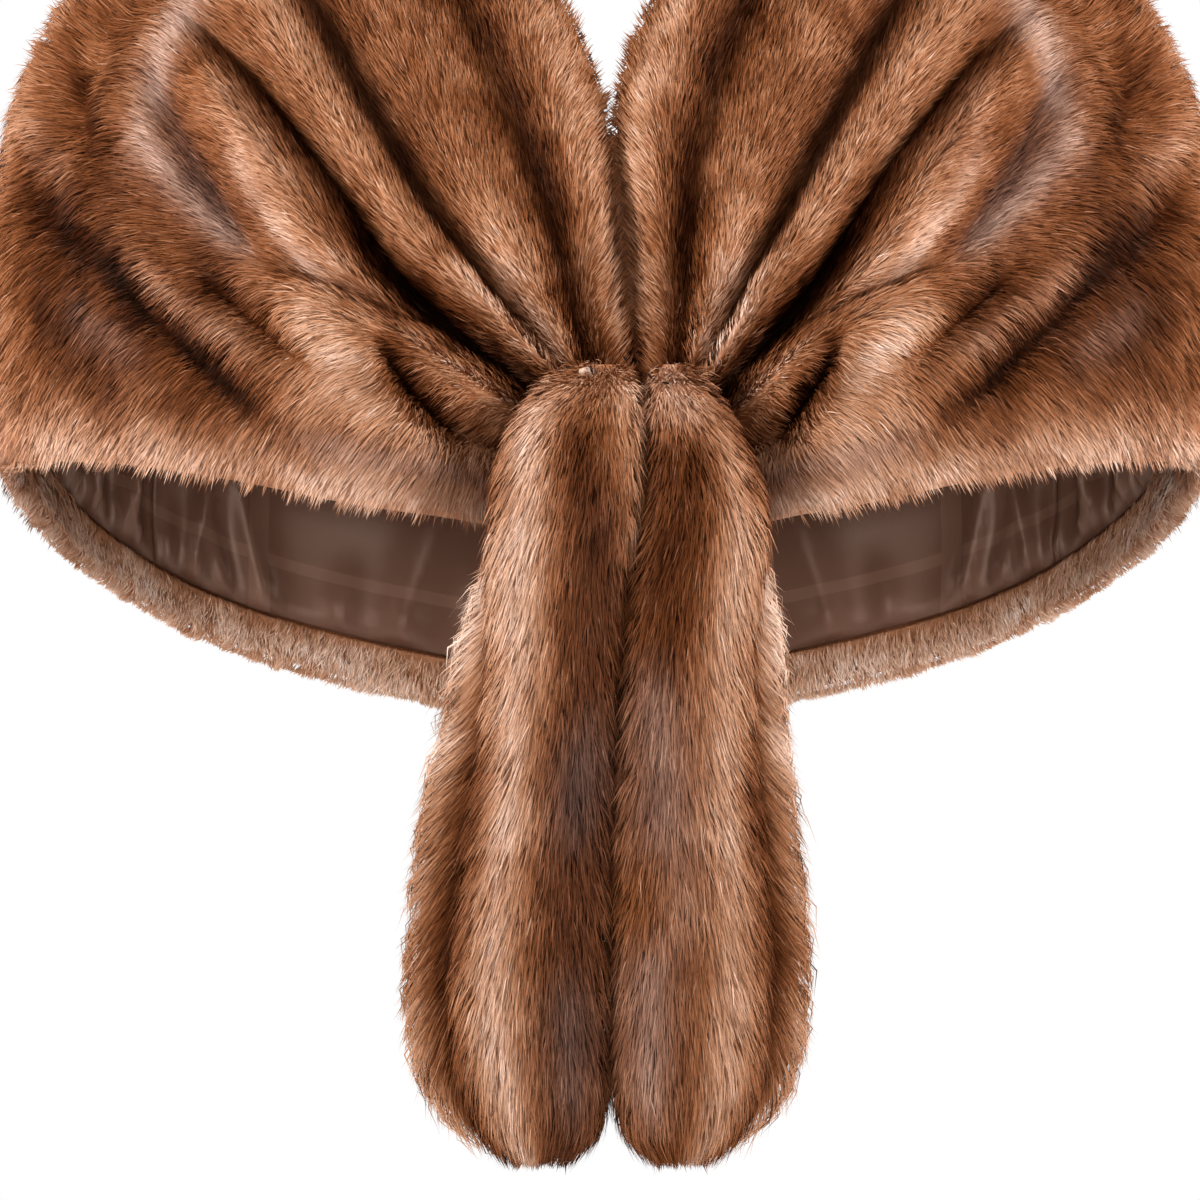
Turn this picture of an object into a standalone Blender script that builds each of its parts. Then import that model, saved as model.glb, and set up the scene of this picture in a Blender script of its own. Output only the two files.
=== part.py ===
"""Mink capelet: a wide strip of fur that lies round the shoulders and upper arms,
is gathered at the middle of the chest and ends in two pairs of hanging tails.

Metres, +Z up. The front faces -Y. The origin is where the shoulders carry it.
Left is -X and right is +X, as seen from the front.

The half strip is a surface with two parameters: u runs along the strip, from the
centre back (0) over the arm (about 0.375) to the gather (1), and v runs across it, from
the neck edge (0) to the hem (1). It lies on the rings of a general figure.
"""
import bmesh
import bpy
import numpy as np

COLLECTION_NAME = "mink_capelet"

# Driving sizes.
FUR_WALL = 0.013        # leather with the pile standing on it
LINING_WALL = 0.0012
SEAM_GAP = 0.0004       # between the edges of two pieces
LAY_GAP = 0.0009        # between a piece and the one that it lies on
FACING_WALL = 0.005     # fur turned in along the back hem
FACING_SHARE = 0.050    # share of the strip's width that the turned-in fur takes
EDGE_ROUND = 0.45       # how far a free edge bulges, as a share of the wall
INNER_FOLLOW = 0.5      # how far the inside follows the folds of the outside

# Seams across the strip, as places along u.
BACK_SEAM = 0.2
ARM_SEAM = 0.5
LINING_END = 0.93       # the lining stops short of the gather
FACING_END = 0.36       # the turned-in fur fades out at the side

# Rings of the figure, on the outside of the fur, from the neck down.
# Columns: height, half_width, front_depth, back_depth, squareness.
RINGS = (
    (+0.038, 0.086, 0.058, 0.060, 2.00),
    (+0.024, 0.140, 0.074, 0.074, 2.10),
    (+0.005, 0.192, 0.086, 0.086, 2.20),
    (-0.022, 0.230, 0.096, 0.094, 2.30),
    (-0.058, 0.261, 0.106, 0.100, 2.35),
    (-0.105, 0.279, 0.120, 0.112, 2.40),
    (-0.160, 0.292, 0.136, 0.122, 2.45),
    (-0.230, 0.295, 0.150, 0.130, 2.50),
    (-0.300, 0.291, 0.155, 0.136, 2.50),
    (-0.400, 0.282, 0.156, 0.138, 2.50),
)

# The strip round the back and the arm. The neck edge is given by its distance from the
# centre line and its height, the hem by its angle round the rings, 0 at the centre back
# and 180 at the centre front. Spread says how the width is shared between the edges.
# Columns: u, neck_out, neck_height, hem_angle, hem_height, spread.
WRAP = (
    (0.0000, 0.000, -0.108, 0.0, -0.387, 1.0),
    (0.1250, 0.037, -0.089, 30.0, -0.360, 1.0),
    (0.2500, 0.062, -0.038, 60.0, -0.319, 1.05),
    (0.3125, 0.079, +0.010, 75.0, -0.300, 1.15),
    (0.3750, 0.091, +0.036, 90.0, -0.282, 1.3),
    (0.4375, 0.077, +0.012, 104.0, -0.281, 1.6),
    (0.5000, 0.059, -0.020, 118.0, -0.284, 1.9),
)
SHOULDER_U = 0.375      # the top of the shoulder, where the neck edge turns to the front
NECK_FAN = 2.8          # how fast the lines leave the neck edge's own angles

# The strip across the chest: lines that run together at the gather, each given by its
# distance from the centre line and its height at four places along u.
CHEST_U = (0.62, 0.74, 0.86, 1.0)
# Columns: v, then out and height at each of CHEST_U.
CHEST = (
    (0.00, 0.036, -0.055, 0.0155, -0.092, 0.0036, -0.142, 0.0040, -0.247),
    (0.15, 0.086, -0.048, 0.057, -0.088, 0.030, -0.163, 0.016, -0.250),
    (0.30, 0.143, -0.062, 0.112, -0.118, 0.074, -0.186, 0.027, -0.254),
    (0.50, 0.200, -0.088, 0.150, -0.143, 0.097, -0.212, 0.036, -0.262),
    (0.62, 0.222, -0.122, 0.170, -0.175, 0.112, -0.224, 0.042, -0.272),
    (0.80, 0.238, -0.195, 0.185, -0.222, 0.115, -0.258, 0.046, -0.290),
    (1.00, 0.225, -0.288, 0.170, -0.298, 0.105, -0.312, 0.038, -0.320),
)

# Folds. Each runs along the strip from (u_start, v_start) to (u_end, v_end), is
# half_width wide in v, rises or sinks by rise, and fades over fade in u at each end.
# Columns: u_start, v_start, u_end, v_end, half_width, rise, fade.
FOLDS = (
    (0.50, 0.000, 1.20, 0.000, 0.035, -0.007, 0.18),   # edges roll in to the centre
    (0.46, 0.073, 1.20, 0.093, 0.045, +0.006, 0.20),   # soft roll along the neck edge
    (0.46, 0.134, 1.20, 0.216, 0.034, -0.009, 0.20),   # wide, shallow groove beside it
    (0.48, 0.219, 1.20, 0.261, 0.042, +0.012, 0.20),   # second roll
    (0.50, 0.298, 1.20, 0.310, 0.026, -0.018, 0.20),   # groove under it
    (0.50, 0.384, 1.20, 0.356, 0.046, +0.013, 0.20),   # third roll
    (0.57, 0.463, 1.20, 0.454, 0.022, -0.016, 0.15),   # long groove
    (0.80, 0.495, 1.10, 0.525, 0.048, -0.023, 0.12),   # which widens to a deep hollow
    (0.89, 0.430, 1.08, 0.442, 0.015, +0.008, 0.04),   # thin roll on the hollow's edge
    (0.62, 0.507, 0.82, 0.555, 0.027, +0.013, 0.08),   # large roll, from its narrow head
    (0.71, 0.545, 0.90, 0.600, 0.046, +0.014, 0.08),   # to its wide foot
    (0.60, 0.560, 0.82, 0.670, 0.034, -0.008, 0.08),   # slack on the large roll's far side
    (0.79, 0.650, 0.91, 0.570, 0.018, -0.010, 0.03),   # crease over the puffed part
    (0.76, 0.725, 1.10, 0.700, 0.080, +0.021, 0.10),   # full, puffed part
    (0.87, 0.635, 1.06, 0.665, 0.030, +0.009, 0.05),   # roll that runs from it to the gather
    (0.875, 0.700, 0.955, 0.830, 0.042, -0.020, 0.035),   # dimple
    (0.90, 0.830, 1.02, 0.800, 0.030, -0.008, 0.05),
    (0.78, 0.905, 1.02, 0.900, 0.060, +0.008, 0.08),
    (0.38, 0.720, 0.68, 0.820, 0.036, -0.007, 0.08),   # shallow grooves on the arm
    (0.63, 0.795, 0.80, 0.920, 0.030, -0.007, 0.06),
    (0.71, 0.730, 0.85, 0.820, 0.022, -0.007, 0.05),
    (0.42, 0.570, 0.65, 0.720, 0.035, -0.006, 0.08),
    (0.30, 0.450, 0.60, 0.620, 0.050, -0.004, 0.12),
    (0.05, 0.350, 0.36, 0.550, 0.070, -0.005, 0.12),   # slack across the back
    (-0.1, 0.650, 0.30, 0.780, 0.070, -0.005, 0.12),
)
FOLD_POWER = 1.8        # how squarely a fold stands, 2 being a bell shape
PINCH_PULL = -0.030     # how far the gather draws the strip in at its end
PINCH_START = 0.89
PINCH_FLATTEN = 0.45    # folds keep this share of their rise at the very end

# The centre line leans to the right as it nears the gather.
# Columns: height, shift.
LEAN = (
    (-0.060, 0.001), (-0.138, 0.003), (-0.194, 0.009), (-0.230, 0.013),
    (-0.290, 0.018), (-0.316, 0.017), (-0.360, 0.010), (-0.410, 0.006), (-0.600, 0.002),
)
LEAN_REACH = 0.07

# Tails: sections of flattened ovals down each tail. inner and outer are distances from
# the centre line, middle is the depth of the section's centre, half is half its thickness.
# The left tail reaches out farther than the right one, by uneven each.
# Columns: height, inner, outer, uneven, middle, half.
FRONT_TAIL = (
    (-0.2500, 0.008, 0.027, 0.003, -0.1313, 0.0025),
    (-0.2560, 0.004, 0.033, 0.005, -0.1380, 0.0065),
    (-0.2660, 0.0005, 0.041, 0.008, -0.1485, 0.0105),
    (-0.2800, 0.0005, 0.049, 0.010, -0.1565, 0.0130),
    (-0.3000, 0.0005, 0.056, 0.009, -0.1630, 0.0145),
    (-0.3300, 0.0005, 0.060, 0.005, -0.1675, 0.0150),
    (-0.3800, 0.0005, 0.057, 0.001, -0.1690, 0.0150),
    (-0.4200, 0.0005, 0.058, 0.000, -0.1695, 0.0150),
    (-0.4700, 0.0005, 0.064, 0.000, -0.1695, 0.0150),
    (-0.5400, 0.0005, 0.067, 0.001, -0.1690, 0.0150),
    (-0.5750, 0.002, 0.063, 0.000, -0.1685, 0.0140),
    (-0.5930, 0.007, 0.055, 0.000, -0.1680, 0.0110),
    (-0.6030, 0.019, 0.043, 0.000, -0.1680, 0.0050),
)
REAR_TAIL = (
    (-0.2780, 0.008, 0.033, 0.001, -0.1370, 0.0020),
    (-0.2950, 0.006, 0.043, 0.001, -0.1420, 0.0035),
    (-0.3200, 0.004, 0.052, 0.002, -0.1465, 0.0045),
    (-0.3450, 0.003, 0.062, 0.002, -0.1465, 0.0065),
    (-0.3750, 0.003, 0.070, 0.002, -0.1465, 0.0075),
    (-0.4100, 0.003, 0.074, 0.002, -0.1465, 0.0075),
    (-0.4500, 0.003, 0.081, 0.002, -0.1465, 0.0075),
    (-0.4950, 0.003, 0.086, 0.002, -0.1465, 0.0075),
    (-0.5400, 0.003, 0.087, 0.002, -0.1465, 0.0075),
    (-0.5700, 0.005, 0.081, 0.002, -0.1465, 0.0070),
    (-0.5880, 0.014, 0.068, 0.002, -0.1465, 0.0050),
    (-0.5960, 0.030, 0.054, 0.001, -0.1465, 0.0025),
)
TAIL_SQUARENESS = 2.6
TAIL_SIDES = 14

# Places across the strip, in v, that the pieces have points at, and steps along it.
ROWS = np.array((0.0, 0.04, 0.08, 0.15, 0.195, 0.24, 0.305, 0.35, 0.40, 0.45,
                 0.485, 0.53, 0.58, 0.645, 0.735, 0.815, 0.90, 1.0))
LINING_TOP = 0.02
LINING_BOTTOM = 0.975   # on the chest, where no fur is turned in
HEM_SEAM = 0.0115       # room in v for the rounded edges of the lining and the turned-in fur
BACK_STEPS = 8
ARM_STEPS = 7
CHEST_STEPS = 15

SHARP_ANGLE = np.radians(75)
PROFILE_POINTS = 800    # along the figure's side profile
NORMAL_STEP = 1e-3      # in u and v, to read the surface's direction

MATERIALS = {
    "mink_fur": ((0.175, 0.085, 0.045, 1.0), 0.55, 0.0),
    "mink_tail": ((0.200, 0.105, 0.062, 1.0), 0.55, 0.0),
    "satin_lining": ((0.095, 0.060, 0.045, 1.0), 0.35, 0.0),
}


def smooth_through(x, knots, values):
    """A smooth curve through the values at the knots, read at x."""
    knots = np.asarray(knots, float)
    values = np.asarray(values, float)
    slopes = np.gradient(values, knots, axis=0)
    x = np.clip(np.asarray(x, float), knots[0], knots[-1])
    i = np.clip(np.searchsorted(knots, x, side="right") - 1, 0, len(knots) - 2)
    width = knots[i + 1] - knots[i]
    t = (x - knots[i]) / width
    if values.ndim > 1:
        shape = t.shape + (1,) * (values.ndim - 1)
        t = t.reshape(shape)
        width = width.reshape(shape)
    rise = 3 * t ** 2 - 2 * t ** 3
    return ((1 - rise) * values[i] + rise * values[i + 1]
            + width * (t - 2 * t ** 2 + t ** 3) * slopes[i]
            + width * (t ** 3 - t ** 2) * slopes[i + 1])


RING_TABLE = np.array(RINGS)
RING_LEVELS = np.concatenate(([0.0], np.cumsum(
    np.hypot(np.diff(RING_TABLE[:, 0]), np.diff(RING_TABLE[:, 1])))))
FINE_LEVELS = np.linspace(0.0, RING_LEVELS[-1], PROFILE_POINTS)
FINE_HEIGHTS = smooth_through(FINE_LEVELS, RING_LEVELS, RING_TABLE[:, 0])


def level_at(height):
    """How far down the figure's side profile a height lies."""
    return np.interp(-np.asarray(height, float), -FINE_HEIGHTS, FINE_LEVELS)


def on_figure(angle, level):
    """The point on the rings at an angle in degrees and a level."""
    height, wide, front, back, square = np.moveaxis(
        smooth_through(level, RING_LEVELS, RING_TABLE), -1, 0)
    turn = np.radians(angle)
    across = np.sin(turn)
    ahead = np.cos(turn)
    x = wide * np.sign(across) * np.abs(across) ** (2 / square)
    depth = np.where(ahead > 0, back, -front)
    return np.stack([x, depth * np.abs(ahead) ** (2 / square), height], -1)


def figure_angle(out, height):
    """The angle round the rings of a point on the back, out from the centre line."""
    _, wide, _, _, square = smooth_through(level_at(height), RING_LEVELS, RING_TABLE)
    return np.degrees(np.arcsin(min(out / wide, 1.0) ** (square / 2)))


def strip_net():
    """The points of the strip at each station along u, for each chest line across v.

    One station past the centre back lets the strip run smoothly through it.
    """
    lines = np.array(CHEST)
    v = lines[:, 0]
    net = []
    for u, neck_out, neck_height, hem_angle, hem_height, spread in WRAP:
        neck_angle = figure_angle(neck_out, neck_height)
        if u > SHOULDER_U:
            neck_angle = 180 - neck_angle
        neck_level = level_at(neck_height)
        angles = hem_angle + (neck_angle - hem_angle) * (1 - v) ** NECK_FAN
        levels = neck_level + (level_at(hem_height) - neck_level) * v ** spread
        net.append(on_figure(angles, levels))
    for place in range(len(CHEST_U)):
        outs = lines[:, 1 + 2 * place]
        heights = lines[:, 2 + 2 * place]
        angles = [180 - figure_angle(out, height) for out, height in zip(outs, heights)]
        net.append(on_figure(angles, level_at(heights)))
    other_side = net[1] * (-1, 1, 1)
    stations = [-WRAP[1][0]] + [row[0] for row in WRAP] + list(CHEST_U)
    return stations, v, np.array([other_side] + net)


STATIONS, LINES, NET = strip_net()


def flat_half(u, v):
    """The right half of the strip without its folds, a grid over the lists u and v."""
    along = smooth_through(u, STATIONS, NET)
    return np.moveaxis(smooth_through(v, LINES, np.moveaxis(along, 1, 0)), 0, 1)


def ramp(x, start, width):
    """A smooth step from 0 to 1 that begins at start."""
    t = np.clip((x - start) / width, 0.0, 1.0)
    return t * t * (3 - 2 * t)


def fold_rise(u, v, follow):
    """How far the folds, by a share, and the gather move the strip, over the lists u and v."""
    u, v = np.meshgrid(u, v, indexing="ij")
    total = np.zeros(u.shape)
    for u_start, v_start, u_end, v_end, half_width, rise, fade in FOLDS:
        place = v_start + (v_end - v_start) * (u - u_start) / (u_end - u_start)
        reach = ramp(u, u_start, fade) * ramp(-u, -u_end, fade)
        total += rise * reach * np.exp(-np.abs((v - place) / half_width) ** FOLD_POWER)
    pinch = ramp(u, PINCH_START, 1.0 - PINCH_START)
    return total * follow * (1 - (1 - PINCH_FLATTEN) * pinch) + PINCH_PULL * pinch


def strip(u, v, sink=0.0, follow=1.0):
    """A grid of points over the lists u and v, u being negative on the left side.

    The points are sunk inwards and follow the folds of the outside by a share.
    """
    half = np.abs(u)
    step = NORMAL_STEP
    flat = flat_half(half, v)
    along = flat_half(np.minimum(half + step, 1), v) - flat_half(half - step, v)
    across = flat_half(half, np.minimum(v + step, 1)) - flat_half(half, np.maximum(v - step, 0))
    outward = np.cross(along, across)
    outward /= np.linalg.norm(outward, axis=-1, keepdims=True)
    points = flat + outward * (fold_rise(half, v, follow) - sink)[..., None]
    points[..., 0] *= np.where(u < 0, -1.0, 1.0)[:, None]
    return points


def part_in_the_middle(points):
    """Keeps a chest piece on its own side of the centre line."""
    side = np.sign(points[:, 0].sum())
    points[:, 0] = side * np.maximum(points[:, 0] * side, SEAM_GAP / 2)
    return points


def lean(points):
    """Shifts points near the middle of the chest with the leaning centre line."""
    near = np.exp(-(points[..., 0] / LEAN_REACH) ** 2) * (points[..., 1] < 0)
    points[..., 0] += lean_shift(points[..., 2]) * near
    return points


def lean_shift(height):
    heights, shifts = np.array(LEAN)[::-1].T
    return smooth_through(height, heights, shifts)


def keep_clear(points):
    """Draws in the two end columns of a piece, so that a seam gap stays open."""
    for end, inner in ((0, 1), (-1, -2)):
        step = points[inner] - points[end]
        points[end] += step / np.linalg.norm(step, axis=-1, keepdims=True) * SEAM_GAP / 2
    return points


def add_solid(name, corners, faces, material):
    """One closed body, with its faces turned outwards."""
    mesh = bpy.data.meshes.new(name)
    mesh.from_pydata(corners.tolist(), [], faces)
    shape = bmesh.new()
    shape.from_mesh(mesh)
    bmesh.ops.recalc_face_normals(shape, faces=shape.faces)
    shape.to_mesh(mesh)
    shape.free()
    mesh.shade_smooth()
    mesh.set_sharp_from_angle(angle=SHARP_ANGLE)
    mesh.materials.append(bpy.data.materials[material])
    solid = bpy.data.objects.new(name, mesh)
    bpy.data.collections[COLLECTION_NAME].objects.link(solid)
    return solid


def edge_middle(outer, inner, next_in):
    """The middle of a rounded edge, pushed out past the wall."""
    outward = outer - next_in
    outward /= np.linalg.norm(outward, axis=-1, keepdims=True)
    wall = np.linalg.norm(outer - inner, axis=-1, keepdims=True)
    return (outer + inner) / 2 + outward * wall * EDGE_ROUND


def add_wall(name, outside, inside, material):
    """A closed wall between two grids of points, with its long edges rounded.

    Every square of both grids is cut along the same diagonal, so that pieces
    which lie on each other keep their gap.
    """
    columns, rows = outside.shape[:2]
    low_edge = edge_middle(outside[:, -1], inside[:, -1], outside[:, -2])
    high_edge = edge_middle(outside[:, 0], inside[:, 0], outside[:, 1])
    corners = np.concatenate([outside.reshape(-1, 3), inside.reshape(-1, 3), low_edge, high_edge])
    if "chest" in name:
        corners = lean(part_in_the_middle(corners))
    inner = columns * rows
    low = 2 * inner
    high = low + columns
    faces = []
    for column in range(columns - 1):
        for row in range(rows - 1):
            for base in (0, inner):
                a = base + column * rows + row
                faces.append((a, a + 1, a + rows + 1))
                faces.append((a, a + rows + 1, a + rows))
        for edge, row in ((low, rows - 1), (high, 0)):
            for base in (0, inner):
                a = base + column * rows + row
                faces.append((a, a + rows, edge + column + 1))
                faces.append((a, edge + column + 1, edge + column))
    for column in (0, columns - 1):
        first = column * rows
        last = first + rows - 1
        for a in range(first, last):
            faces.append((a, a + 1, inner + a + 1))
            faces.append((a, inner + a + 1, inner + a))
        faces.append((last, low + column, inner + last))
        faces.append((first, high + column, inner + first))
    return add_solid(name, corners, faces, material)


def add_layer(name, u, rows, sink, wall, follow, material):
    """A wall along the strip, from sink inside its surface to wall deeper."""
    outside = keep_clear(strip(u, rows, sink, follow))
    inside = keep_clear(strip(u, rows, sink + wall, INNER_FOLLOW))
    add_wall(name, outside, inside, material)


def add_fur(name, u):
    add_layer("fur_" + name, u, ROWS, 0.0, FUR_WALL, 1.0, "mink_fur")


def add_lining(name, u, bottom):
    rows = np.array([LINING_TOP] + [row for row in ROWS if LINING_TOP < row < bottom] + [bottom])
    sink = FUR_WALL + LAY_GAP
    add_layer("lining_" + name, u, rows, sink, LINING_WALL, INNER_FOLLOW, "satin_lining")


def add_hem_facing(u):
    rows = np.array([1 - FACING_SHARE, 1.0])
    sink = FUR_WALL + LAY_GAP
    add_layer("hem_facing", u, rows, sink, FACING_WALL, INNER_FOLLOW, "mink_fur")


def remove_old_objects():
    for old in list(bpy.data.objects):
        bpy.data.objects.remove(old, do_unlink=True)


def make_materials():
    for name, (colour, roughness, metallic) in MATERIALS.items():
        material = bpy.data.materials.new(name)
        material.use_nodes = True
        shader = material.node_tree.nodes["Principled BSDF"]
        shader.inputs["Base Color"].default_value = colour
        shader.inputs["Roughness"].default_value = roughness
        shader.inputs["Metallic"].default_value = metallic


def add_tail(name, side, sections):
    """A flattened oval strip of fur that hangs from the gather."""
    turns = np.linspace(0, 2 * np.pi, TAIL_SIDES, endpoint=False)
    power = 2 / TAIL_SQUARENESS
    across = np.sign(np.cos(turns)) * np.abs(np.cos(turns)) ** power
    through = np.sign(np.sin(turns)) * np.abs(np.sin(turns)) ** power
    rings = []
    for height, inner, outer, uneven, middle, half in sections:
        reach = outer - uneven * side
        centre = (inner + reach) / 2 * side + lean_shift(height)
        x = centre + (reach - inner) / 2 * across
        rings.append(np.stack([x, middle + half * through, np.full(TAIL_SIDES, height)], -1))
    corners = np.concatenate(rings)
    last = (len(sections) - 1) * TAIL_SIDES
    faces = []
    for ring in range(0, last, TAIL_SIDES):
        for step in range(TAIL_SIDES):
            a = ring + step
            b = ring + (step + 1) % TAIL_SIDES
            faces.append((a, b, b + TAIL_SIDES, a + TAIL_SIDES))
    faces.append(tuple(range(TAIL_SIDES)))
    faces.append(tuple(range(last, last + TAIL_SIDES)))
    add_solid(name, corners, faces, "mink_tail")


def build():
    remove_old_objects()
    collection = bpy.data.collections.new(COLLECTION_NAME)
    bpy.context.scene.collection.children.link(collection)
    make_materials()
    back = np.linspace(-BACK_SEAM, BACK_SEAM, BACK_STEPS + 1)
    arm = np.linspace(BACK_SEAM, ARM_SEAM, ARM_STEPS + 1)
    chest = np.linspace(ARM_SEAM, 1.0, CHEST_STEPS + 1)
    faced = arm[arm < FACING_END]
    lining_hem = 1 - FACING_SHARE - HEM_SEAM
    add_fur("back", back)
    add_lining("back", back, lining_hem)
    add_hem_facing(np.concatenate([-faced[::-1], back[1:-1], faced]))
    for side, sign in (("left", -1), ("right", 1)):
        on_arm = np.sort(arm * sign)
        on_chest = np.sort(chest * sign)
        add_fur("arm_" + side, on_arm)
        add_lining("arm_" + side, on_arm, lining_hem)
        add_fur("chest_" + side, on_chest)
        add_lining("chest_" + side, on_chest[np.abs(on_chest) < LINING_END], LINING_BOTTOM)
        add_tail("tail_front_" + side, sign, FRONT_TAIL)
        add_tail("tail_rear_" + side, sign, REAR_TAIL)


build()
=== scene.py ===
"""Dresses the mink capelet: skins, hair, satin lining, stitches, camera and lights.

The strip is the same surface as in the part's source: u runs along it, from the centre
back (0) over the arm to the gather (1), and v runs across it, from the neck edge (0) to
the hem (1). The left half, towards -X, has negative u. Metres, +Z up, front towards -Y.
"""

import math

import bpy
import numpy as np
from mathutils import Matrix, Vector


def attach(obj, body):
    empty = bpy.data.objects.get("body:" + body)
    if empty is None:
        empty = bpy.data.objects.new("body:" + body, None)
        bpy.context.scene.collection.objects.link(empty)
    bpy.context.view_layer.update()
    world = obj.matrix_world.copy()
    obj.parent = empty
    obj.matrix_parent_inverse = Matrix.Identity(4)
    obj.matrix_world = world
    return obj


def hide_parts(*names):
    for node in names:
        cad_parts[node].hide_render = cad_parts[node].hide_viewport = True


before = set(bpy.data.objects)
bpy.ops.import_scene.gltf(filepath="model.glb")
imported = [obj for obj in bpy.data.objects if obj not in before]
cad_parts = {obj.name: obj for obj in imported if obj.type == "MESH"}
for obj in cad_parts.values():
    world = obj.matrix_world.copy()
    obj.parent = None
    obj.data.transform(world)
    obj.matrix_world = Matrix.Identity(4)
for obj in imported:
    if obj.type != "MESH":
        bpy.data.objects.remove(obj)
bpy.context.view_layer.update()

# ---- sizes of the part
FUR_WALL = 0.013        # leather with the pile standing on it
LINING_WALL = 0.0012
SEAM_GAP = 0.0004       # between the edges of two pieces
METRES_PER_U = 1.1      # about the length of strip in one unit of u
LAY_GAP = 0.0009        # between a piece and the one that it lies on
FACING_SHARE = 0.050    # share of the strip's width that the turned-in fur takes
EDGE_ROUND = 0.45       # how far a free edge bulges, as a share of the wall
INNER_FOLLOW = 0.5      # how far the inside follows the folds of the outside
BACK_SEAM = 0.2         # seams between the panels, in u
ARM_SEAM = 0.5
LINING_END = 0.93       # the lining stops short of the gather
LINING_TOP = 0.02
LINING_BOTTOM = 0.975   # on the chest, where no fur is turned in
HEM_SEAM = 0.0115       # room in v between the lining and the turned-in fur
LINING_HEM = 1 - FACING_SHARE - HEM_SEAM

# Columns: height, half_width, front_depth, back_depth, squareness.
RINGS = (
    (+0.038, 0.086, 0.058, 0.060, 2.00),
    (+0.024, 0.140, 0.074, 0.074, 2.10),
    (+0.005, 0.192, 0.086, 0.086, 2.20),
    (-0.022, 0.230, 0.096, 0.094, 2.30),
    (-0.058, 0.261, 0.106, 0.100, 2.35),
    (-0.105, 0.279, 0.120, 0.112, 2.40),
    (-0.160, 0.292, 0.136, 0.122, 2.45),
    (-0.230, 0.295, 0.150, 0.130, 2.50),
    (-0.300, 0.291, 0.155, 0.136, 2.50),
    (-0.400, 0.282, 0.156, 0.138, 2.50),
)

# Columns: u, neck_out, neck_height, hem_angle, hem_height, spread.
WRAP = (
    (0.0000, 0.000, -0.108, 0.0, -0.387, 1.0),
    (0.1250, 0.037, -0.089, 30.0, -0.360, 1.0),
    (0.2500, 0.062, -0.038, 60.0, -0.319, 1.05),
    (0.3125, 0.079, +0.010, 75.0, -0.300, 1.15),
    (0.3750, 0.091, +0.036, 90.0, -0.282, 1.3),
    (0.4375, 0.077, +0.012, 104.0, -0.281, 1.6),
    (0.5000, 0.059, -0.020, 118.0, -0.284, 1.9),
)
SHOULDER_U = 0.375      # the top of the shoulder, where the neck edge turns to the front
NECK_FAN = 2.8          # how fast the lines leave the neck edge's own angles

CHEST_U = (0.62, 0.74, 0.86, 1.0)
# Columns: v, then out and height at each of CHEST_U.
CHEST = (
    (0.00, 0.036, -0.055, 0.0155, -0.092, 0.0036, -0.142, 0.0040, -0.247),
    (0.15, 0.086, -0.048, 0.057, -0.088, 0.030, -0.163, 0.016, -0.250),
    (0.30, 0.143, -0.062, 0.112, -0.118, 0.074, -0.186, 0.027, -0.254),
    (0.50, 0.200, -0.088, 0.150, -0.143, 0.097, -0.212, 0.036, -0.262),
    (0.62, 0.222, -0.122, 0.170, -0.175, 0.112, -0.224, 0.042, -0.272),
    (0.80, 0.238, -0.195, 0.185, -0.222, 0.115, -0.258, 0.046, -0.290),
    (1.00, 0.225, -0.288, 0.170, -0.298, 0.105, -0.312, 0.038, -0.320),
)

# Columns: u_start, v_start, u_end, v_end, half_width, rise, fade.
FOLDS = (
    (0.50, 0.000, 1.20, 0.000, 0.035, -0.007, 0.18),   # edges roll in to the centre
    (0.46, 0.073, 1.20, 0.093, 0.045, +0.006, 0.20),   # soft roll along the neck edge
    (0.46, 0.134, 1.20, 0.216, 0.034, -0.009, 0.20),   # wide, shallow groove beside it
    (0.48, 0.219, 1.20, 0.261, 0.042, +0.012, 0.20),   # second roll
    (0.50, 0.298, 1.20, 0.310, 0.026, -0.018, 0.20),   # groove under it
    (0.50, 0.384, 1.20, 0.356, 0.046, +0.013, 0.20),   # third roll
    (0.57, 0.463, 1.20, 0.454, 0.022, -0.016, 0.15),   # long groove
    (0.80, 0.495, 1.10, 0.525, 0.048, -0.023, 0.12),   # which widens to a deep hollow
    (0.89, 0.430, 1.08, 0.442, 0.015, +0.008, 0.04),   # thin roll on the hollow's edge
    (0.62, 0.507, 0.82, 0.555, 0.027, +0.013, 0.08),   # large roll, from its narrow head
    (0.71, 0.545, 0.90, 0.600, 0.046, +0.014, 0.08),   # to its wide foot
    (0.60, 0.560, 0.82, 0.670, 0.034, -0.008, 0.08),   # slack on the large roll's far side
    (0.79, 0.650, 0.91, 0.570, 0.018, -0.010, 0.03),   # crease over the puffed part
    (0.76, 0.725, 1.10, 0.700, 0.080, +0.021, 0.10),   # full, puffed part
    (0.87, 0.635, 1.06, 0.665, 0.030, +0.009, 0.05),   # roll that runs from it to the gather
    (0.875, 0.700, 0.955, 0.830, 0.042, -0.020, 0.035),   # dimple
    (0.90, 0.830, 1.02, 0.800, 0.030, -0.008, 0.05),
    (0.78, 0.905, 1.02, 0.900, 0.060, +0.008, 0.08),
    (0.38, 0.720, 0.68, 0.820, 0.036, -0.007, 0.08),   # shallow grooves on the arm
    (0.63, 0.795, 0.80, 0.920, 0.030, -0.007, 0.06),
    (0.71, 0.730, 0.85, 0.820, 0.022, -0.007, 0.05),
    (0.42, 0.570, 0.65, 0.720, 0.035, -0.006, 0.08),
    (0.30, 0.450, 0.60, 0.620, 0.050, -0.004, 0.12),
    (0.05, 0.350, 0.36, 0.550, 0.070, -0.005, 0.12),   # slack across the back
    (-0.1, 0.650, 0.30, 0.780, 0.070, -0.005, 0.12),
)
PINCH_PULL = -0.030     # how far the gather draws the strip in at its end
PINCH_START = 0.89
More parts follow.
